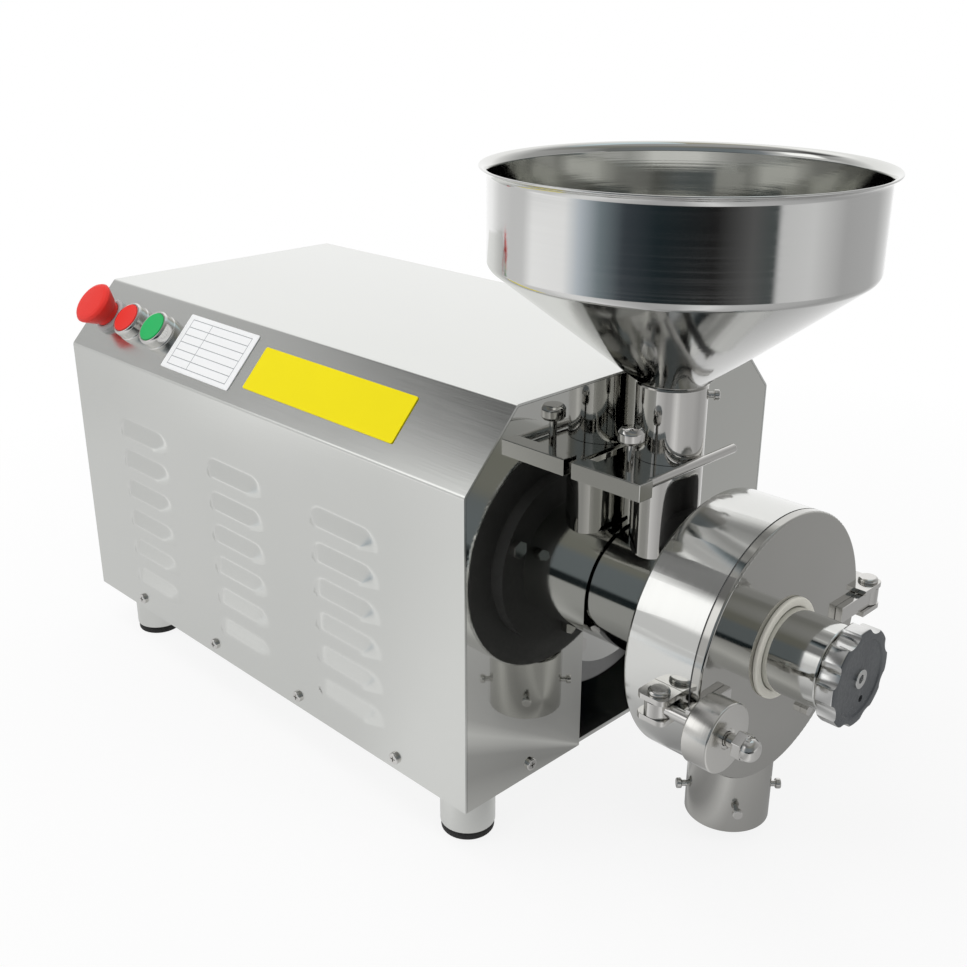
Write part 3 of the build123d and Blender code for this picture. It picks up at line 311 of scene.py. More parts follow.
# Shared surface effects, as shader node groups; each noise has its scale and its detail
grainSet = {
    "beltLines": (1.0, 3.0), "beltClouds": (9.0, 4.0),
    "latheDetail": 3.0, "latheClouds": (14.0, 4.0),
    "speckDetail": 2.0, "speckClouds": (30.0, 4.0),
    "lineShare": 0.5,             # lines and clouds share the roughness
    "blendSpan": (0.35, 0.65),    # the part of the noise that the two roughnesses spread over
    "toolDepth": 0.0002,          # metres of bump on turned and brushed steel
    "skinDepth": 0.0003,          # metres of bump on skins
    "latheFineness": 900.0, "skinFineness": 700.0,
}


def noiseNode(tree, place, scale, detail):
    values = {"Vector": place, "Scale": scale, "Detail": detail}
    return addNode(tree, "ShaderNodeTexNoise", values).outputs["Fac"]


def newGroup(name, takes, gives):
    group = bpy.data.node_groups.new(name, "ShaderNodeTree")
    for label, kind, value in takes:
        socket = group.interface.new_socket(label, in_out="INPUT", socket_type=kind)
        if value is not None:
            socket.default_value = value
    for label, kind in gives:
        group.interface.new_socket(label, in_out="OUTPUT", socket_type=kind)
    start = group.nodes.new("NodeGroupInput")
    end = group.nodes.new("NodeGroupOutput")
    return group, start.outputs, end.inputs


def makeBrushGroup():
    # fine straight lines from a belt, drawn out along one direction
    group, given, wanted = newGroup(
        "beltLines",
        [("Vector", "NodeSocketVector", None), ("Stretch", "NodeSocketVector", (20.0, 900.0, 900.0))],
        [("Lines", "NodeSocketFloat"), ("Clouds", "NodeSocketFloat")])
    drawn = vectorNode(group, "MULTIPLY", given["Vector"], given["Stretch"])
    group.links.new(noiseNode(group, drawn, *grainSet["beltLines"]), wanted["Lines"])
    group.links.new(noiseNode(group, given["Vector"], *grainSet["beltClouds"]), wanted["Clouds"])
    return group


def makeLatheGroup():
    # rings left by a turning tool, round a line through Centre along Axis
    group, given, wanted = newGroup(
        "latheLines",
        [("Vector", "NodeSocketVector", None), ("Centre", "NodeSocketVector", (0.0, 0.0, 0.0)),
         ("Axis", "NodeSocketVector", (1.0, 0.0, 0.0)),
         ("Fineness", "NodeSocketFloat", grainSet["latheFineness"])],
        [("Lines", "NodeSocketFloat"), ("Clouds", "NodeSocketFloat")])
    away = vectorNode(group, "SUBTRACT", given["Vector"], given["Centre"])
    along = vectorNode(group, "DOT_PRODUCT", away, given["Axis"])
    radius = vectorNode(group, "LENGTH", vectorNode(group, "CROSS_PRODUCT", away, given["Axis"]))
    flat = addNode(group, "ShaderNodeCombineXYZ", {0: along, 1: radius}).outputs[0]
    group.links.new(noiseNode(group, flat, given["Fineness"], grainSet["latheDetail"]), wanted["Lines"])
    group.links.new(noiseNode(group, away, *grainSet["latheClouds"]), wanted["Clouds"])
    return group


def makeSpeckGroup():
    # the fine uneven skin of moulded, cast and painted pieces
    group, given, wanted = newGroup(
        "fineSkin",
        [("Vector", "NodeSocketVector", None), ("Fineness", "NodeSocketFloat", grainSet["skinFineness"])],
        [("Specks", "NodeSocketFloat"), ("Clouds", "NodeSocketFloat")])
    specks = noiseNode(group, given["Vector"], given["Fineness"], grainSet["speckDetail"])
    group.links.new(specks, wanted["Specks"])
    group.links.new(noiseNode(group, given["Vector"], *grainSet["speckClouds"]), wanted["Clouds"])
    return group


beltLines = makeBrushGroup()
latheLines = makeLatheGroup()
fineSkin = makeSpeckGroup()


# Finishes
def startMaterial(name):
    mat = bpy.data.materials.new(name)
    mat.use_nodes = True
    tree = mat.node_tree
    return mat, tree, tree.nodes["Principled BSDF"], addNode(tree, "ShaderNodeTexCoord").outputs["Object"]


def placeGroup(tree, group, values):
    return addNode(tree, "ShaderNodeGroup", values, node_tree=group).outputs


def finishMaterial(tree, shader, tones, lines, clouds, bump, depth):
    # two shades and two roughnesses that follow the clouds, and a bump from the lines
    colours, roughs = tones
    tree.links.new(mixColour(tree, clouds, *colours), shader.inputs["Base Color"])
    share = grainSet["lineShare"]
    fine = mathNode(tree, "MULTIPLY", lines, share)
    blend = mathNode(tree, "ADD", fine, mathNode(tree, "MULTIPLY", clouds, 1.0 - share))
    tree.links.new(rangeNode(tree, blend, grainSet["blendSpan"], roughs), shader.inputs["Roughness"])
    raised = addNode(tree, "ShaderNodeBump", {"Height": lines, "Strength": bump, "Distance": depth})
    tree.links.new(raised.outputs["Normal"], shader.inputs["Normal"])


def beltSteel(name, colours, roughs, stretch, bump):
    mat, tree, shader, place = startMaterial(name)
    shader.inputs["Metallic"].default_value = 1.0
    marks = placeGroup(tree, beltLines, {"Vector": place, "Stretch": stretch})
    finishMaterial(tree, shader, (colours, roughs), marks["Lines"], marks["Clouds"], bump,
                   grainSet["toolDepth"])
    return mat


def latheSteel(name, colours, roughs, centre, axis, bump, fineness=grainSet["latheFineness"]):
    mat, tree, shader, place = startMaterial(name)
    shader.inputs["Metallic"].default_value = 1.0
    values = {"Vector": place, "Centre": centre, "Axis": axis, "Fineness": fineness}
    marks = placeGroup(tree, latheLines, values)
    finishMaterial(tree, shader, (colours, roughs), marks["Lines"], marks["Clouds"], bump,
                   grainSet["toolDepth"])
    return mat


def skinMaterial(name, colours, roughs, bump, metal=0.0, fineness=grainSet["skinFineness"], gleam=0.5):
    mat, tree, shader, place = startMaterial(name)
    shader.inputs["Metallic"].default_value = metal
    shader.inputs["Specular IOR Level"].default_value = gleam
    marks = placeGroup(tree, fineSkin, {"Vector": place, "Fineness": fineness})
    finishMaterial(tree, shader, (colours, roughs), marks["Specks"], marks["Clouds"], bump,
                   grainSet["skinDepth"])
    return mat


def middleOf(node):
    low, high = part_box(node)
    return (low + high) / 2


# Rules of the blank form on the white plate, in metres
ruleSet = {
    "pitch": 0.0062, "spaces": 6, "wide": 0.074, "column": -0.012, "half": 0.00028,
    "ink": (0.30, 0.315, 0.33), "bump": 0.03, "gleam": 0.3,
}


def within(tree, value, target, reach):
    test = mathNode(tree, "COMPARE", value, target)
    test.node.inputs[2].default_value = reach
    return test


def ruledPlate(name, colours, roughs, node):
    s = ruleSet
    mat = skinMaterial(name, colours, roughs, s["bump"], gleam=s["gleam"])
    tree = mat.node_tree
    shader = tree.nodes["Principled BSDF"]
    paper = shader.inputs["Base Color"].links[0].from_socket
    low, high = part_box(node)
    upSlope = Vector((0.0, high.y - low.y, high.z - low.z)).normalized()
    place = addNode(tree, "ShaderNodeTexCoord").outputs["Object"]
    away = vectorNode(tree, "SUBTRACT", place, (low + high) / 2)
    along = vectorNode(tree, "DOT_PRODUCT", away, xAxis)
    rise = vectorNode(tree, "DOT_PRODUCT", away, upSlope)
    ink = within(tree, mathNode(tree, "PINGPONG", rise, s["pitch"] / 2), 0.0, s["half"])
    for spot in (-s["wide"] / 2, s["column"], s["wide"] / 2):
        ink = mathNode(tree, "MAXIMUM", ink, within(tree, along, spot, s["half"]))
    ink = mathNode(tree, "MULTIPLY", ink, within(tree, along, 0.0, s["wide"] / 2 + s["half"]))
    ink = mathNode(tree, "MULTIPLY", ink, within(tree, rise, 0.0, s["pitch"] * s["spaces"] / 2 + s["half"]))
    tree.links.new(mixColour(tree, ink, paper, s["ink"]), shader.inputs["Base Color"])
    return mat


xAxis = (1.0, 0.0, 0.0)
zAxis = (0.0, 0.0, 1.0)
shaftLine = middleOf("hub_tube")
feedLine = middleOf("feed_tube")
spoutLine = middleOf("outlet_spout")
clampLine = middleOf("hand_nut")

finishes = {
    "casingSatin": beltSteel("casingSatin", ((0.70, 0.71, 0.685), (0.75, 0.755, 0.735)), (0.17, 0.25),
                             (25.0, 1100.0, 1100.0), 0.05),
    "plateMirror": beltSteel("plateMirror", ((0.64, 0.645, 0.615), (0.68, 0.68, 0.65)), (0.012, 0.04),
                             (1100.0, 1100.0, 20.0), 0.02),
    "bowlMirror": latheSteel("bowlMirror", ((0.68, 0.68, 0.67), (0.72, 0.72, 0.71)), (0.05, 0.13),
                             feedLine, zAxis, 0.05, 700.0),
    "bowlSatin": latheSteel("bowlSatin", ((0.64, 0.645, 0.62), (0.70, 0.70, 0.68)), (0.03, 0.08),
                            feedLine, zAxis, 0.05, 700.0),
    "tubeSteel": latheSteel("tubeSteel", ((0.64, 0.63, 0.61), (0.68, 0.67, 0.65)), (0.05, 0.10),
                            feedLine, zAxis, 0.010),
    "gateSteel": beltSteel("gateSteel", ((0.60, 0.595, 0.57), (0.65, 0.645, 0.62)), (0.06, 0.12),
                           (900.0, 20.0, 900.0), 0.01),
    "drumTurned": latheSteel("drumTurned", ((0.68, 0.685, 0.665), (0.74, 0.74, 0.72)), (0.07, 0.13),
                             shaftLine, xAxis, 0.04),
    "hubPolish": latheSteel("hubPolish", ((0.66, 0.665, 0.64), (0.72, 0.72, 0.70)), (0.04, 0.09),
                            shaftLine, xAxis, 0.03),
    "coverSatin": latheSteel("coverSatin", ((0.50, 0.495, 0.47), (0.55, 0.545, 0.52)), (0.06, 0.11),
                             shaftLine, xAxis, 0.05),
    "spoutSteel": latheSteel("spoutSteel", ((0.55, 0.545, 0.52), (0.61, 0.605, 0.58)), (0.10, 0.18),
                             spoutLine, zAxis, 0.02),
    "clampTurned": latheSteel("clampTurned", ((0.68, 0.67, 0.645), (0.74, 0.73, 0.70)), (0.15, 0.25),
                              clampLine, xAxis, 0.12),
    "knobSlate": skinMaterial("knobSlate", ((0.045, 0.05, 0.06), (0.185, 0.195, 0.20)), (0.26, 0.46), 0.35,
                              metal=0.6, fineness=420.0),
    # painted shade: a dark colour standing in for the shade between the drum and the front plate, on the
    # drum's back and the housing's collar
    "drumCast": skinMaterial("drumCast", (grey(0.04), grey(0.10)), (0.40, 0.65), 0.30, fineness=350.0),
    "knobBright": latheSteel("knobBright", ((0.68, 0.68, 0.67), (0.72, 0.72, 0.71)), (0.10, 0.18),
                             shaftLine, xAxis, 0.06),
    "plainBright": beltSteel("plainBright", ((0.66, 0.65, 0.63), (0.72, 0.71, 0.69)), (0.10, 0.20),
                             (300.0, 300.0, 300.0), 0.03),
    "machined": skinMaterial("machined", (grey(0.42), grey(0.50)), (0.28, 0.42), 0.05, metal=1.0),
    "gasketGrey": skinMaterial("gasketGrey", (grey(0.10), grey(0.15)), (0.50, 0.65), 0.10),
    "rubber": skinMaterial("rubber", (grey(0.014), grey(0.022)), (0.60, 0.80), 0.25),
    "whitePlate": ruledPlate("whitePlate", ((0.87, 0.88, 0.885), (0.91, 0.915, 0.92)), (0.38, 0.50),
                             "data_plate"),
    "yellowPlate": skinMaterial("yellowPlate", ((0.88, 0.745, 0.003), (0.92, 0.78, 0.004)), (0.38, 0.50),
                                0.03, gleam=0.18),
    "redPlastic": skinMaterial("redPlastic", ((0.76, 0.022, 0.014), (0.82, 0.028, 0.018)), (0.40, 0.54),
                               0.06),
    "greenPlastic": skinMaterial("greenPlastic", ((0.002, 0.42, 0.100), (0.004, 0.47, 0.115)), (0.40, 0.54),
                                 0.06),
    "collarGrey": skinMaterial("collarGrey", (grey(0.42), grey(0.50)), (0.30, 0.42), 0.05),
    "blackPlastic": skinMaterial("blackPlastic", (grey(0.016), grey(0.026)), (0.36, 0.52), 0.12),
    "creamPlastic": skinMaterial("creamPlastic", ((0.76, 0.74, 0.66), (0.81, 0.79, 0.71)), (0.40, 0.55),
                                 0.12),
    "motorPaint": skinMaterial("motorPaint", ((0.035, 0.05, 0.07), (0.05, 0.065, 0.085)), (0.38, 0.55),
                               0.15),
    "castShield": skinMaterial("castShield", (grey(0.30), grey(0.40)), (0.34, 0.52), 0.20, metal=1.0),
    "coreIron": skinMaterial("coreIron", (grey(0.16), grey(0.22)), (0.40, 0.58), 0.10, metal=1.0),
    "copperWire": skinMaterial("copperWire", ((0.55, 0.20, 0.07), (0.66, 0.27, 0.10)), (0.26, 0.40), 0.20,
                               metal=1.0),
    "drawnCan": skinMaterial("drawnCan", (grey(0.58), grey(0.66)), (0.22, 0.34), 0.05, metal=1.0),
    "millStone": skinMaterial("millStone", ((0.30, 0.28, 0.25), (0.44, 0.42, 0.38)), (0.78, 0.92), 0.60,
                              fineness=420.0),
}

finishOf = {
    "casingSatin": ["casing_shell", "rear_plate", "feet", "base_plate"],
    "plateMirror": ["front_plate"],
    "bowlMirror": ["hopper"],
    "tubeSteel": ["feed_tube", "gate_rod", "gate_knob"],
    "gateSteel": ["gate_plate"],
    "drumTurned": ["grinding_drum", "feed_housing"],
    "hubPolish": ["hub_tube"],
    "coverSatin": ["front_cover"],
    "spoutSteel": ["outlet_spout"],
    "clampTurned": ["hand_nut", "clamp_washer"],
    "knobBright": ["adjuster_knob", "knob_screw"],
    "plainBright": ["casing_screws", "hex_bolts", "thumb_screws", "pivot_pins", "cap_nut", "button_bezels",
                    "swing_bolt", "cover_straps", "drum_lugs"],
    "machined": ["shaft", "shaft_nut", "adjuster_spindle", "motor_bearings", "stone_carrier",
                 "runner_carrier", "feed_auger"],
    "rubber": ["foot_pads", "shaft_seal"],
    "gasketGrey": ["cover_gasket"],
    "whitePlate": ["data_plate"],
    "yellowPlate": ["notice_plate"],
    "redPlastic": ["estop_head", "stop_button"],
    "greenPlastic": ["start_button"],
    "collarGrey": ["estop_collar"],
    "blackPlastic": ["contact_blocks", "cable_gland", "contactor", "cooling_fan"],
    "creamPlastic": ["hub_ring"],
    "motorPaint": ["motor_frame", "fan_cowl", "motor_cradle"],
    "castShield": ["motor_front_shield", "motor_rear_shield"],
    "coreIron": ["stator_core", "rotor_core"],
    "copperWire": ["stator_winding"],
    "drawnCan": ["start_capacitor"],
    "millStone": ["runner_stone", "fixed_stone"],
}


def dressNodes():
    for finish, names in finishOf.items():
        for name in names:
            coat = nodes[name].data.materials
            coat.clear()
            coat.append(finishes[finish])


dressNodes()
print("stage: finishes on", sum(len(n) for n in finishOf.values()), "nodes")


# Where the mill stands: millimetres from the casing's lower front edge, on the middle line
home = Vector((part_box("front_plate")[1].x, middleOf("hub_tube").y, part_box("casing_shell")[0].z))
shaftUp = (middleOf("hub_tube").z - home.z) * 1000
feedOut = (middleOf("feed_tube").x - home.x) * 1000


def at(x, y, z):
    return home + Vector((x, y, z)) / 1000


# Hand tools; lengths in metres, angles in degrees
toolSet = {
    "startSize": 0.001,        # a plane that is merged to one vertex
    "latheWeld": 0.000002, "sheetWeld": 0.00001, "cadWeld": 0.000001,
    "near": 0.0001,            # two places closer than this count as one
    "cornerShare": 0.49,       # share of an edge that one corner's arc may use
    "cornerSteps": 4, "latheSteps": 64, "smooth": 35.0,
}


def clearSelection():
    if bpy.context.mode != "OBJECT":
        bpy.ops.object.mode_set(mode="OBJECT")
    bpy.ops.object.select_all(action="DESELECT")


def pickOnly(piece):
    clearSelection()
    piece.select_set(True)
    bpy.context.view_layer.objects.active = piece


def editAll(piece):
    pickOnly(piece)
    bpy.ops.object.mode_set(mode="EDIT")
    bpy.ops.mesh.select_mode(type="VERT")
    bpy.ops.mesh.select_all(action="SELECT")


def selectWhere(piece, kind, test):
    # picks the vertices or faces whose place passes the test, and leaves the piece in edit mode
    pickOnly(piece)
    bpy.ops.object.mode_set(mode="EDIT")
    bpy.ops.mesh.select_mode(type="FACE" if kind == "faces" else "VERT")
    bpy.ops.mesh.select_all(action="DESELECT")
    bpy.ops.object.mode_set(mode="OBJECT")
    if kind == "faces":
        for face in piece.data.polygons:
            face.select = test(face.center)
    else:
        for point in piece.data.vertices:
            point.select = test(point.co)
    bpy.ops.object.mode_set(mode="EDIT")


def useModifier(piece, kind, **settings):
    pickOnly(piece)
    added = piece.modifiers.new(kind, kind)
    for key, value in settings.items():
        setattr(added, key, value)
    bpy.ops.object.modifier_apply(modifier=added.name)


def smoothOver(piece, degrees=toolSet["smooth"]):
    pickOnly(piece)
    bpy.ops.object.shade_smooth_by_angle(angle=math.radians(degrees))


def roundCorners(points, radii, steps=toolSet["cornerSteps"]):
    # a flat outline with arcs in place of its corners; radius 0 keeps a corner
    count = len(points)
    made = []
    for index, (point, radius) in enumerate(zip(points, radii)):
        here = Vector(point)
        if radius <= 0:
            made.append(here)
            continue
        before = Vector(points[index - 1]) - here
        after = Vector(points[(index + 1) % count]) - here
        half = before.angle(after) / 2
        room = min(before.length, after.length) * toolSet["cornerShare"]
        reach = min(radius / math.tan(half), room)
        radius = reach * math.tan(half)
        middle = here + (before.normalized() + after.normalized()).normalized() * (radius / math.sin(half))
        start = here + before.normalized() * reach - middle
        end = here + after.normalized() * reach - middle
        turn = start.angle_signed(end)
        for step in range(steps + 1):
            angle = -turn * step / steps
            made.append(middle + Vector((start.x * math.cos(angle) - start.y * math.sin(angle),
                                         start.x * math.sin(angle) + start.y * math.cos(angle))))
    return made


def drawLine(name, points):
    # one vertex, drawn out from point to point
    clearSelection()
    bpy.ops.mesh.primitive_plane_add(size=toolSet["startSize"], location=(0, 0, 0))
    piece = bpy.context.object
    piece.name = name
    editAll(piece)
    bpy.ops.mesh.merge(type="CENTER")
    bpy.ops.transform.translate(value=points[0])
    for start, end in zip(points, points[1:]):
        bpy.ops.mesh.extrude_vertices_move(TRANSFORM_OT_translate={"value": end - start})
    return piece


def turnOnLathe(name, outline, base, axis, steps=toolSet["latheSteps"]):
    # outline in millimetres: distance from the axis, distance along it; the outline is closed
    axis = Vector(axis).normalized()
    side = axis.orthogonal().normalized()
    points = [base + (side * r + axis * h) / 1000 for r, h in outline]
    piece = drawLine(name, points + points[:1])
    bpy.ops.mesh.select_all(action="SELECT")
    bpy.ops.mesh.spin(steps=steps, angle=2 * math.pi, center=base, axis=axis)
    bpy.ops.mesh.select_all(action="SELECT")
    bpy.ops.mesh.remove_doubles(threshold=toolSet["latheWeld"])
    bpy.ops.mesh.normals_make_consistent(inside=False)
    bpy.ops.object.mode_set(mode="OBJECT")
    smoothOver(piece)
    return piece


def copyPiece(piece, name):
    twin = bpy.data.objects.new(name, piece.data.copy())
    bpy.context.scene.collection.objects.link(twin)
    return twin


def movePiece(piece, shift):
    editAll(piece)
    bpy.ops.transform.translate(value=shift)
    bpy.ops.object.mode_set(mode="OBJECT")


def joinPieces(pieces):
    clearSelection()
    for piece in pieces:
        piece.select_set(True)
    bpy.context.view_layer.objects.active = pieces[0]
    bpy.ops.object.join()
    return pieces[0]


def fitOut(piece, finish, slot, body, *stands):
    piece.data.materials.clear()
    piece.data.materials.append(finishes[finish])
    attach(piece, body)
    if stands:
        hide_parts(*stands)
    return piece


# Casing cover: one folded sheet with pressed louvers in both sides
casingSet = {
    "width": 300.0, "height": 257.0, "length": 450.0,
    "bevelRun": 42.0, "bevelDrop": 45.0,
    "bend": 4.0, "bendSteps": 5, "sheet": 1.5,
    "columns": (-112.0, -232.5, -353.0),
    "rows": (26.0, 51.2, 76.4, 101.6, 126.8, 152.0),
    "cellLength": 80.0, "cellBelow": 2.0, "cellAbove": 18.0,
    "cutsAlong": 40, "cutsUp": 20, "shortestEdge": 1.0,
    "depth": 4.4, "lipHalf": 23.0, "lipHigh": 2.5, "fall": 12.0, "slitHalf": 29.0,
    "relax": 0.5, "relaxRounds": 2, "keepRows": 1.5, "smooth": 30.0,
    "panelHoles": (420.0, 382.5, 345.0),
}


def makeLouver():
    s = casingSet
    clearSelection()
    bpy.ops.mesh.primitive_grid_add(x_subdivisions=s["cutsAlong"], y_subdivisions=s["cutsUp"], size=1.0)
    louver = bpy.context.object
    louver.name = "louver"
    high = s["cellBelow"] + s["cellAbove"]
    editAll(louver)
    bpy.ops.transform.resize(value=(s["cellLength"] / 1000, high / 1000, 1.0))
    bpy.ops.object.mode_set(mode="OBJECT")
    louver.rotation_euler = (math.pi / 2, 0, 0)
    louver.location = (0, 0, (s["cellAbove"] - s["cellBelow"]) / 2000)
    bpy.ops.object.transform_apply()
    rowHigh = high / s["cutsUp"] / 1000
    slit = s["slitHalf"] / 1000
    selectWhere(louver, "faces", lambda c: -rowHigh < c.z < 0 and abs(c.x) < slit)
    bpy.ops.mesh.delete(type="FACE")
    selectWhere(louver, "verts", lambda c: c.z < -rowHigh / 2)
    bpy.ops.mesh.hide()
    bpy.ops.object.mode_set(mode="OBJECT")
    lip = s["lipHalf"] / 1000
    for point in louver.data.vertices:
        flat = -rowHigh / 2 < point.co.z < s["lipHigh"] / 1000
        point.select = flat and abs(point.co.x) < lip and not point.hide
    bpy.ops.object.mode_set(mode="EDIT")
    bpy.ops.transform.translate(value=(0, -s["depth"] / 1000, 0), use_proportional_edit=True,
                                proportional_edit_falloff="LINEAR", proportional_size=s["fall"] / 1000)
    bpy.ops.mesh.reveal()
    last = s["cellAbove"] / 1000 - rowHigh * s["keepRows"]
    selectWhere(louver, "verts", lambda c: rowHigh / 2 < c.z < last)
    bpy.ops.mesh.vertices_smooth(factor=s["relax"], repeat=s["relaxRounds"],
                                 xaxis=False, yaxis=True, zaxis=False)
    bpy.ops.object.mode_set(mode="OBJECT")
    return louver


def bevelFrame(back):
    # a point on the near bevel's middle line, and the way out of it
    s = casingSet
    point = at(-back, -s["width"] / 2 + s["bevelRun"] / 2, s["height"] - s["bevelDrop"] / 2)
    return point, Vector((0, -s["bevelDrop"], s["bevelRun"])).normalized()


def selectHoleEdges(casing, axis, low, high):
    # picks the open edges that run along an axis inside the louvers' field
    pickOnly(casing)
    bpy.ops.object.mode_set(mode="EDIT")
    bpy.ops.mesh.select_mode(type="EDGE")
    bpy.ops.mesh.select_all(action="DESELECT")
    bpy.ops.mesh.select_non_manifold(use_wire=False, use_multi_face=False, use_non_contiguous=False,
                                     use_verts=False)
    bpy.ops.object.mode_set(mode="OBJECT")
    near, shortest = toolSet["near"], casingSet["shortestEdge"] / 1000
    spot = [point.co for point in casing.data.vertices]
    rims = [edge for edge in casing.data.edges if edge.select]
    casing.data.vertices.foreach_set("select", [False] * len(casing.data.vertices))
    casing.data.edges.foreach_set("select", [False] * len(casing.data.edges))
    for edge in rims:
        a, b = (spot[i] for i in edge.vertices)
        middle = (a + b) / 2
        inside = all(low[i] - near < middle[i] < high[i] + near for i in (0, 2))
        edge.select = inside and abs(a[axis] - b[axis]) > shortest
    bpy.ops.object.mode_set(mode="EDIT")


def makeCasing():
    s = casingSet
    half, top = s["width"] / 2, s["height"]
    corners = [(-half, 0), (-half, top - s["bevelDrop"]), (-half + s["bevelRun"], top),
               (half - s["bevelRun"], top), (half, top - s["bevelDrop"]), (half, 0)]
    bends = [0, s["bend"], s["bend"], s["bend"], s["bend"], 0]
    outline = roundCorners(corners, bends, s["bendSteps"])
    stops = sorted(z + off for z in s["rows"] for off in (-s["cellBelow"], s["cellAbove"]))
    near = [Vector((-half, z)) for z in stops]
    far = [Vector((half, z)) for z in reversed(stops)]
    outline = outline[:1] + near + outline[1:-1] + far + outline[-1:]
    casing = drawLine("casingCover", [at(0, y, z) for y, z in outline])
    edges = sorted(x + off for x in s["columns"] for off in (-s["cellLength"] / 2, s["cellLength"] / 2))
    marks = [0.0] + edges[::-1] + [-s["length"]]
    for start, end in zip(marks, marks[1:]):
        bpy.ops.mesh.select_all(action="DESELECT")
        bpy.ops.object.mode_set(mode="OBJECT")
        for point in casing.data.vertices:
            point.select = abs(point.co.x - at(start, 0, 0).x) < toolSet["sheetWeld"]
        bpy.ops.object.mode_set(mode="EDIT")
        bpy.ops.mesh.extrude_region_move(TRANSFORM_OT_translate={"value": ((end - start) / 1000, 0, 0)})
    cells = [(x, z) for x in s["columns"] for z in s["rows"]]
    reachAlong = s["cellLength"] / 2000
    reachUp = (s["cellBelow"] + s["cellAbove"]) / 2000
    middle = (s["cellAbove"] - s["cellBelow"]) / 2

    def inCell(c):
        onSide = abs(abs(c.y - home.y) - half / 1000) < toolSet["near"]
        gaps = [c - at(x, 0, z + middle) for x, z in cells]
        return onSide and any(abs(gap.x) < reachAlong and abs(gap.z) < reachUp for gap in gaps)

    selectWhere(casing, "faces", inCell)
    bpy.ops.mesh.delete(type="FACE")
    low, high = at(edges[0], 0, stops[0]), at(edges[-1], 0, stops[-1])
    for axis, cuts in ((0, s["cutsAlong"]), (2, s["cutsUp"])):
        selectHoleEdges(casing, axis, low, high)
        bpy.ops.mesh.subdivide(number_cuts=cuts - 1, ngon=True)
    bpy.ops.object.mode_set(mode="OBJECT")
    louver = makeLouver()
    copies = []
    for side in (-1, 1):
        if side > 0:
            editAll(louver)
            bpy.ops.transform.rotate(value=math.pi, orient_axis="Z", center_override=(0, 0, 0))
            bpy.ops.object.mode_set(mode="OBJECT")
        for x, z in cells:
            twin = copyPiece(louver, "louver")
            movePiece(twin, at(x, side * half, z))
            copies.append(twin)
    bpy.data.objects.remove(louver)
    casing = joinPieces([casing] + copies)
    editAll(casing)
    bpy.ops.mesh.remove_doubles(threshold=toolSet["sheetWeld"])
    bpy.ops.object.mode_set(mode="OBJECT")
    return casing


def finishCasing(casing):
    s = casingSet
    roof = at(0, 0, s["height"]).z - toolSet["near"]
    facing = [face for face in casing.data.polygons if face.center.z > roof]
    if facing and facing[0].normal.z < 0:
        editAll(casing)
        bpy.ops.mesh.flip_normals()
        bpy.ops.object.mode_set(mode="OBJECT")
    useModifier(casing, "SOLIDIFY", thickness=s["sheet"] / 1000, offset=-1.0, use_even_offset=True)
    smoothOver(casing, s["smooth"])
    return fitOut(casing, "casingSatin", "casing_steel", "casing", "casing_shell")


casingCover = finishCasing(makeCasing())
print("stage: casing cover folded,", len(casingCover.data.polygons), "faces")


# Hopper: spun bowl with a curled rim
hopperSet = {
    "radius": 113.5, "wall": 1.2, "neck": 19.9, "neckLow": 232.6, "seat": 252.6, "corner": 324.9,
    "flare": 375.6, "curl": 4.6, "curlTurn": 75.0, "curlSteps": 6, "lip": 1.5, "steps": 144,
    "inRise": 0.6, "seatSoft": 5.0, "cornerSoft": 6.0, "inSoft": 5.0, "softSteps": 5,
}


def makeHopper():
    s = hopperSet
    inner = s["radius"] - s["wall"]
    bore = s["neck"] - s["wall"]
    turns = [math.radians(s["curlTurn"] * step / s["curlSteps"]) for step in range(s["curlSteps"] + 1)]
    curl = {}
    for side, bend in (("out", s["curl"]), ("in", s["curl"] + s["wall"])):
        rim = s["radius"] + s["curl"]
        curl[side] = [(rim - bend * math.cos(a), s["flare"] + bend * math.sin(a)) for a in turns]
        r, z = curl[side][-1]
        curl[side].append((r + s["lip"] * math.sin(turns[-1]), z + s["lip"] * math.cos(turns[-1])))
    lower = [(bore, s["neckLow"]), (s["neck"], s["neckLow"]), (s["neck"], s["seat"]),
             (s["radius"], s["corner"])]
    upper = [(inner, s["corner"] + s["inRise"]), (bore, s["seat"] + s["inRise"])]
    outline = lower + curl["out"] + curl["in"][::-1] + upper
    plain = [0] * (s["curlSteps"] + 2)
    plain[-1] = s["wall"] / 2
    soft = [0, 0, s["seatSoft"], s["cornerSoft"]] + plain + plain[::-1] + [s["inSoft"]] * 2
    shape = roundCorners(outline, soft, s["softSteps"])
    bowl = turnOnLathe("hopperBowl", shape, at(feedOut, 0, 0), zAxis, s["steps"])
    return fitOut(bowl, "bowlMirror", "mirror_steel", "hopper", "hopper")


hopperBowl = makeHopper()
print("stage: hopper spun")


# Adjuster knob: eight flutes round a turned blank with a sunk face and a small blind hole
knobSet = {
    "radius": 30.7, "back": 159.2, "front": 171.6, "edge": 1.4, "steps": 96,
    "faceRadius": 23.5, "faceDepth": 0.8, "flutes": 8, "fluteRadius": 11.0, "fluteCircle": 38.5,
    "firstFlute": 22.5, "fluteLong": 40.0, "fluteSides": 40,
    "faceSlope": 0.8, "faceSoft": 0.3, "softSteps": 3,
    "hole": (4.4, -15.3), "holeRadius": 2.2, "holeDepth": 4.0, "holeSides": 32,
    "break": 0.9, "breakSteps": 3, "sharp": 40.0,
}


def addCutter(sides, radius, long, place):
    clearSelection()
    bpy.ops.mesh.primitive_cylinder_add(vertices=sides, radius=radius / 1000, depth=long / 1000,
                                        location=place, rotation=(0, math.pi / 2, 0))
    return bpy.context.object


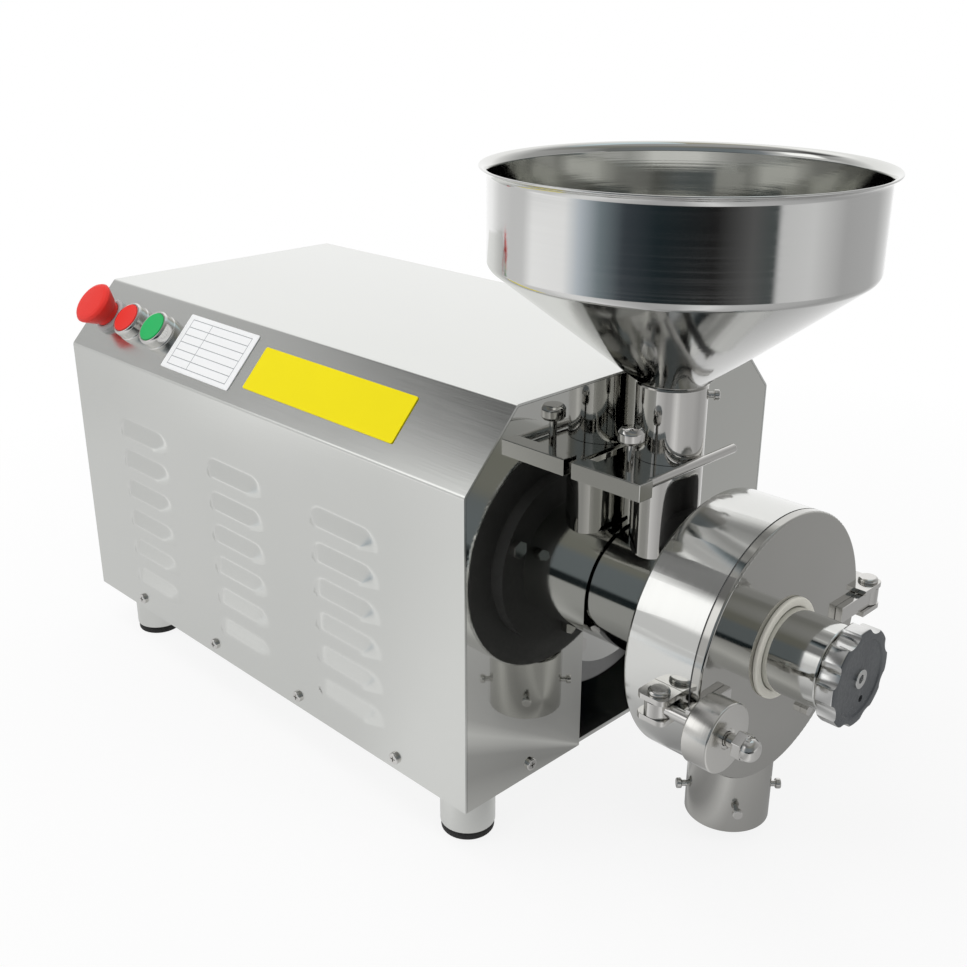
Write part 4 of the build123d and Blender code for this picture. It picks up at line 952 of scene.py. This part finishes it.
def makeKnob():
    s = knobSet
    sunk = s["front"] - s["faceDepth"]
    outline = [(0, s["back"]), (s["radius"], s["back"]), (s["radius"], s["front"]),
               (s["faceRadius"] + s["faceSlope"], s["front"]), (s["faceRadius"], sunk), (0, sunk)]
    soft = [0, s["edge"], s["edge"], s["faceSoft"], s["faceSoft"], 0]
    shape = roundCorners(outline, soft, s["softSteps"])
    knob = turnOnLathe("gapKnob", shape, at(0, 0, shaftUp), xAxis, s["steps"])
    cutters = []
    for index in range(s["flutes"]):
        angle = math.radians(s["firstFlute"] + 360.0 * index / s["flutes"])
        place = at((s["back"] + s["front"]) / 2, s["fluteCircle"] * math.sin(angle),
                   shaftUp + s["fluteCircle"] * math.cos(angle))
        cutters.append(addCutter(s["fluteSides"], s["fluteRadius"], s["fluteLong"], place))
    place = at(sunk, s["hole"][0], shaftUp + s["hole"][1])
    cutters.append(addCutter(s["holeSides"], s["holeRadius"], 2 * s["holeDepth"], place))
    cutter = joinPieces(cutters)
    pickOnly(cutter)
    bpy.ops.object.transform_apply()
    useModifier(knob, "BOOLEAN", operation="DIFFERENCE", solver="EXACT", object=cutter)
    bpy.data.objects.remove(cutter)
    useModifier(knob, "BEVEL", width=s["break"] / 1000, segments=s["breakSteps"], limit_method="ANGLE",
                angle_limit=math.radians(s["sharp"]))
    smoothOver(knob, s["sharp"])
    return fitOut(knob, "knobBright", "knob_steel", "knob", "adjuster_knob")


gapKnob = makeKnob()
print("stage: gap knob fluted")


# Controls on the near bevel: distance from the axis and out of the bevel, and the corners' radii
controlSet = {
    "softSteps": 3,
    "estop": {"outline": [(0, 5.2), (10.6, 5.2), (10.6, 9.6), (12.6, 10.2), (17.0, 19.2), (17.4, 20.6),
                          (15.9, 22.4), (13.6, 23.3), (0, 23.8)],
              "soft": [0, 0, 0, 1.0, 0.6, 0.8, 1.0, 1.5, 0]},
    "collar": {"outline": [(10.9, 0.0), (14.0, 0.0), (14.0, 3.4), (12.4, 5.0), (10.9, 5.0)],
               "soft": [0, 0, 1.0, 1.2, 0]},
    "bezel": {"outline": [(11.7, 0.0), (14.5, 0.0), (14.5, 3.0), (13.9, 3.6), (13.9, 10.4), (12.9, 12.0),
                          (11.7, 12.0)],
              "soft": [0, 0, 0.6, 0.4, 1.0, 0.8, 0.4]},
    "cap": {"outline": [(0, 9.0), (11.5, 9.0), (11.5, 12.6), (10.3, 12.5), (0, 12.1)],
            "soft": [0, 0, 0.9, 0.5, 0]},
}


def makeControl(name, kind, back, finish, slot, body, *stands):
    s = controlSet[kind]
    base, out = bevelFrame(back)
    shape = roundCorners(s["outline"], s["soft"], controlSet["softSteps"])
    piece = turnOnLathe(name, shape, base, out)
    return fitOut(piece, finish, slot, body, *stands)


def makeControls():
    backs = casingSet["panelHoles"]
    makeControl("estopHead", "estop", backs[0], "redPlastic", "red_plastic", "estop", "estop_head")
    makeControl("estopCollar", "collar", backs[0], "collarGrey", "grey_plastic", "casing", "estop_collar")
    makeControl("stopCap", "cap", backs[1], "redPlastic", "red_plastic", "stop", "stop_button")
    makeControl("startCap", "cap", backs[2], "greenPlastic", "green_plastic", "start", "start_button")
    rings = [makeControl("bezelRing", "bezel", back, "plainBright", "bright_steel", "casing")
             for back in backs[1:]]
    ring = joinPieces(rings)
    ring.name = "bezelRings"
    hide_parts("button_bezels")


makeControls()
print("stage: controls turned")


# Pieces whose CAD shape only needs its sharp edges broken; the number is the edge in millimetres
softSet = {
    "gate_plate": 0.6, "gate_rod": 0.6, "cover_straps": 0.6, "drum_lugs": 0.6, "pivot_pins": 0.4,
    "hex_bolts": 0.4, "cap_nut": 0.5, "thumb_screws": 0.4, "swing_bolt": 0.4, "feed_tube": 0.4,
    "feed_housing": 0.6, "outlet_spout": 0.5, "hub_tube": 0.8, "grinding_drum": 1.4, "front_cover": 1.0,
    "clamp_washer": 0.4, "casing_screws": 0.4, "data_plate": 0.25, "notice_plate": 0.25, "feet": 0.8,
    "foot_pads": 0.8, "knob_screw": 0.4, "cable_gland": 0.6,
}
breakSet = {"flat": 0.5, "sharp": 35.0, "smooth": 32.0, "segments": 2, "weight": 50}    # angles in degrees
slotOf = {row["node"]: row["material_slot"] for row in frame["record"]["subparts"]}
finishFor = {name: finish for finish, names in finishOf.items() for name in names}


def plainName(node):
    first, *rest = node.split("_")
    return first + "".join(word.capitalize() for word in rest)


def softenPiece(node, edge):
    s = breakSet
    piece = copyPiece(nodes[node], plainName(node))
    editAll(piece)
    bpy.ops.mesh.remove_doubles(threshold=toolSet["cadWeld"])
    bpy.ops.mesh.customdata_custom_splitnormals_clear()
    bpy.ops.mesh.dissolve_limited(angle_limit=math.radians(s["flat"]))
    bpy.ops.mesh.normals_make_consistent(inside=False)
    bpy.ops.object.mode_set(mode="OBJECT")
    useModifier(piece, "BEVEL", width=edge / 1000, segments=s["segments"], limit_method="ANGLE",
                angle_limit=math.radians(s["sharp"]))
    smoothOver(piece, s["smooth"])
    useModifier(piece, "WEIGHTED_NORMAL", keep_sharp=True, weight=s["weight"])
    return fitOut(piece, finishFor[node], slotOf[node], nodes[node]["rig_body"], node)


softened = {node: softenPiece(node, edge) for node, edge in softSet.items()}
print("stage: edges broken on", len(softened), "pieces")


# Second finishes: a dark colour painted as shade on the drum's back and on the housing's collar next to it,
# the bowl's inside, and the knob's face with painted shade in its hole; lengths in metres
zoneSet = {
    "shadeFacing": -0.9, "shadeDeep": 0.002,
    "collarFacing": -0.6, "collarLong": 0.0105, "collarRadius": 0.05,
    "slateFacing": 0.6, "slateDeep": 0.003, "holeShare": 1.2,
}
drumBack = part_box("grinding_drum")[0].x
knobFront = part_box("adjuster_knob")[1].x


def addZone(piece, finish, test):
    # gives the finish to the faces that pass the test
    piece.data.materials.append(finishes[finish])
    last = len(piece.data.materials) - 1
    for face in piece.data.polygons:
        if test(face):
            face.material_index = last


def fromShaft(place, aside=0.0, up=0.0):
    # distance from a line along the shaft's, moved aside and up by millimetres
    return math.hypot(place.y - shaftLine.y - aside / 1000, place.z - shaftLine.z - up / 1000)


# painted shade: the drum's back, which faces the front plate
def isShadedBack(face):
    return face.normal.x < zoneSet["shadeFacing"] and face.center.x < drumBack + zoneSet["shadeDeep"]


def isShadedCollar(face):
    s = zoneSet
    turned = face.normal.x < s["collarFacing"] or fromShaft(face.center) > s["collarRadius"]
    return turned and drumBack - s["collarLong"] < face.center.x < drumBack


def isBowlInside(face):
    out = face.center - feedLine
    return out.z > 0 and face.normal.x * out.x + face.normal.y * out.y < 0


def isSlateFace(face):
    s = zoneSet
    # painted shade: the blind hole's walls and floor take the dark face colour
    inHole = fromShaft(face.center, *knobSet["hole"]) < s["holeShare"] * knobSet["holeRadius"] / 1000
    return inHole or (face.normal.x > s["slateFacing"] and face.center.x > knobFront - s["slateDeep"])


# painted shade on the drum's back and on the housing's collar beside it
addZone(softened["grinding_drum"], "drumCast", isShadedBack)
addZone(softened["feed_housing"], "drumCast", isShadedCollar)
addZone(hopperBowl, "bowlSatin", isBowlInside)
addZone(gapKnob, "knobSlate", isSlateFace)


# Small turned pieces: distance from the axis and along it, and the corners' radii
turnedSteps = 72
turnedSet = {
    "hub_ring": {"outline": [(26.6, 120.0), (32.4, 120.0), (32.4, 122.8), (26.6, 122.8)],
                 "soft": [0, 0.6, 1.2, 1.2], "side": 0.0, "up": shaftUp, "axis": "x"},
    "hand_nut": {"outline": [(4.4, 127.2), (14.6, 127.2), (15.0, 130.4), (20.4, 130.4), (20.4, 147.0),
                             (6.4, 147.0), (5.6, 146.2), (4.4, 146.2)],
                 "soft": [0, 0.6, 0.4, 1.0, 1.2, 0.3, 0.2, 0], "side": -95.0, "up": 99.5, "axis": "x"},
    "gate_knob": {"outline": [(0, 206.3), (2.6, 206.3), (2.6, 225.4), (6.4, 225.4), (8.0, 227.4),
                              (8.0, 232.6), (6.2, 235.1), (0, 235.2)],
                  "soft": [0, 0, 0.6, 0.8, 1.2, 1.6, 1.6, 0], "side": -43.0, "out": 31.0, "axis": "z"},
}


def makeTurned():
    for node, s in turnedSet.items():
        base = at(0, s["side"], s["up"]) if s["axis"] == "x" else at(s["out"], s["side"], 0)
        shape = roundCorners(s["outline"], s["soft"])
        piece = turnOnLathe(plainName(node), shape, base, xAxis if s["axis"] == "x" else zAxis, turnedSteps)
        fitOut(piece, finishFor[node], slotOf[node], nodes[node]["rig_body"], node)


makeTurned()
print("stage: small pieces turned")
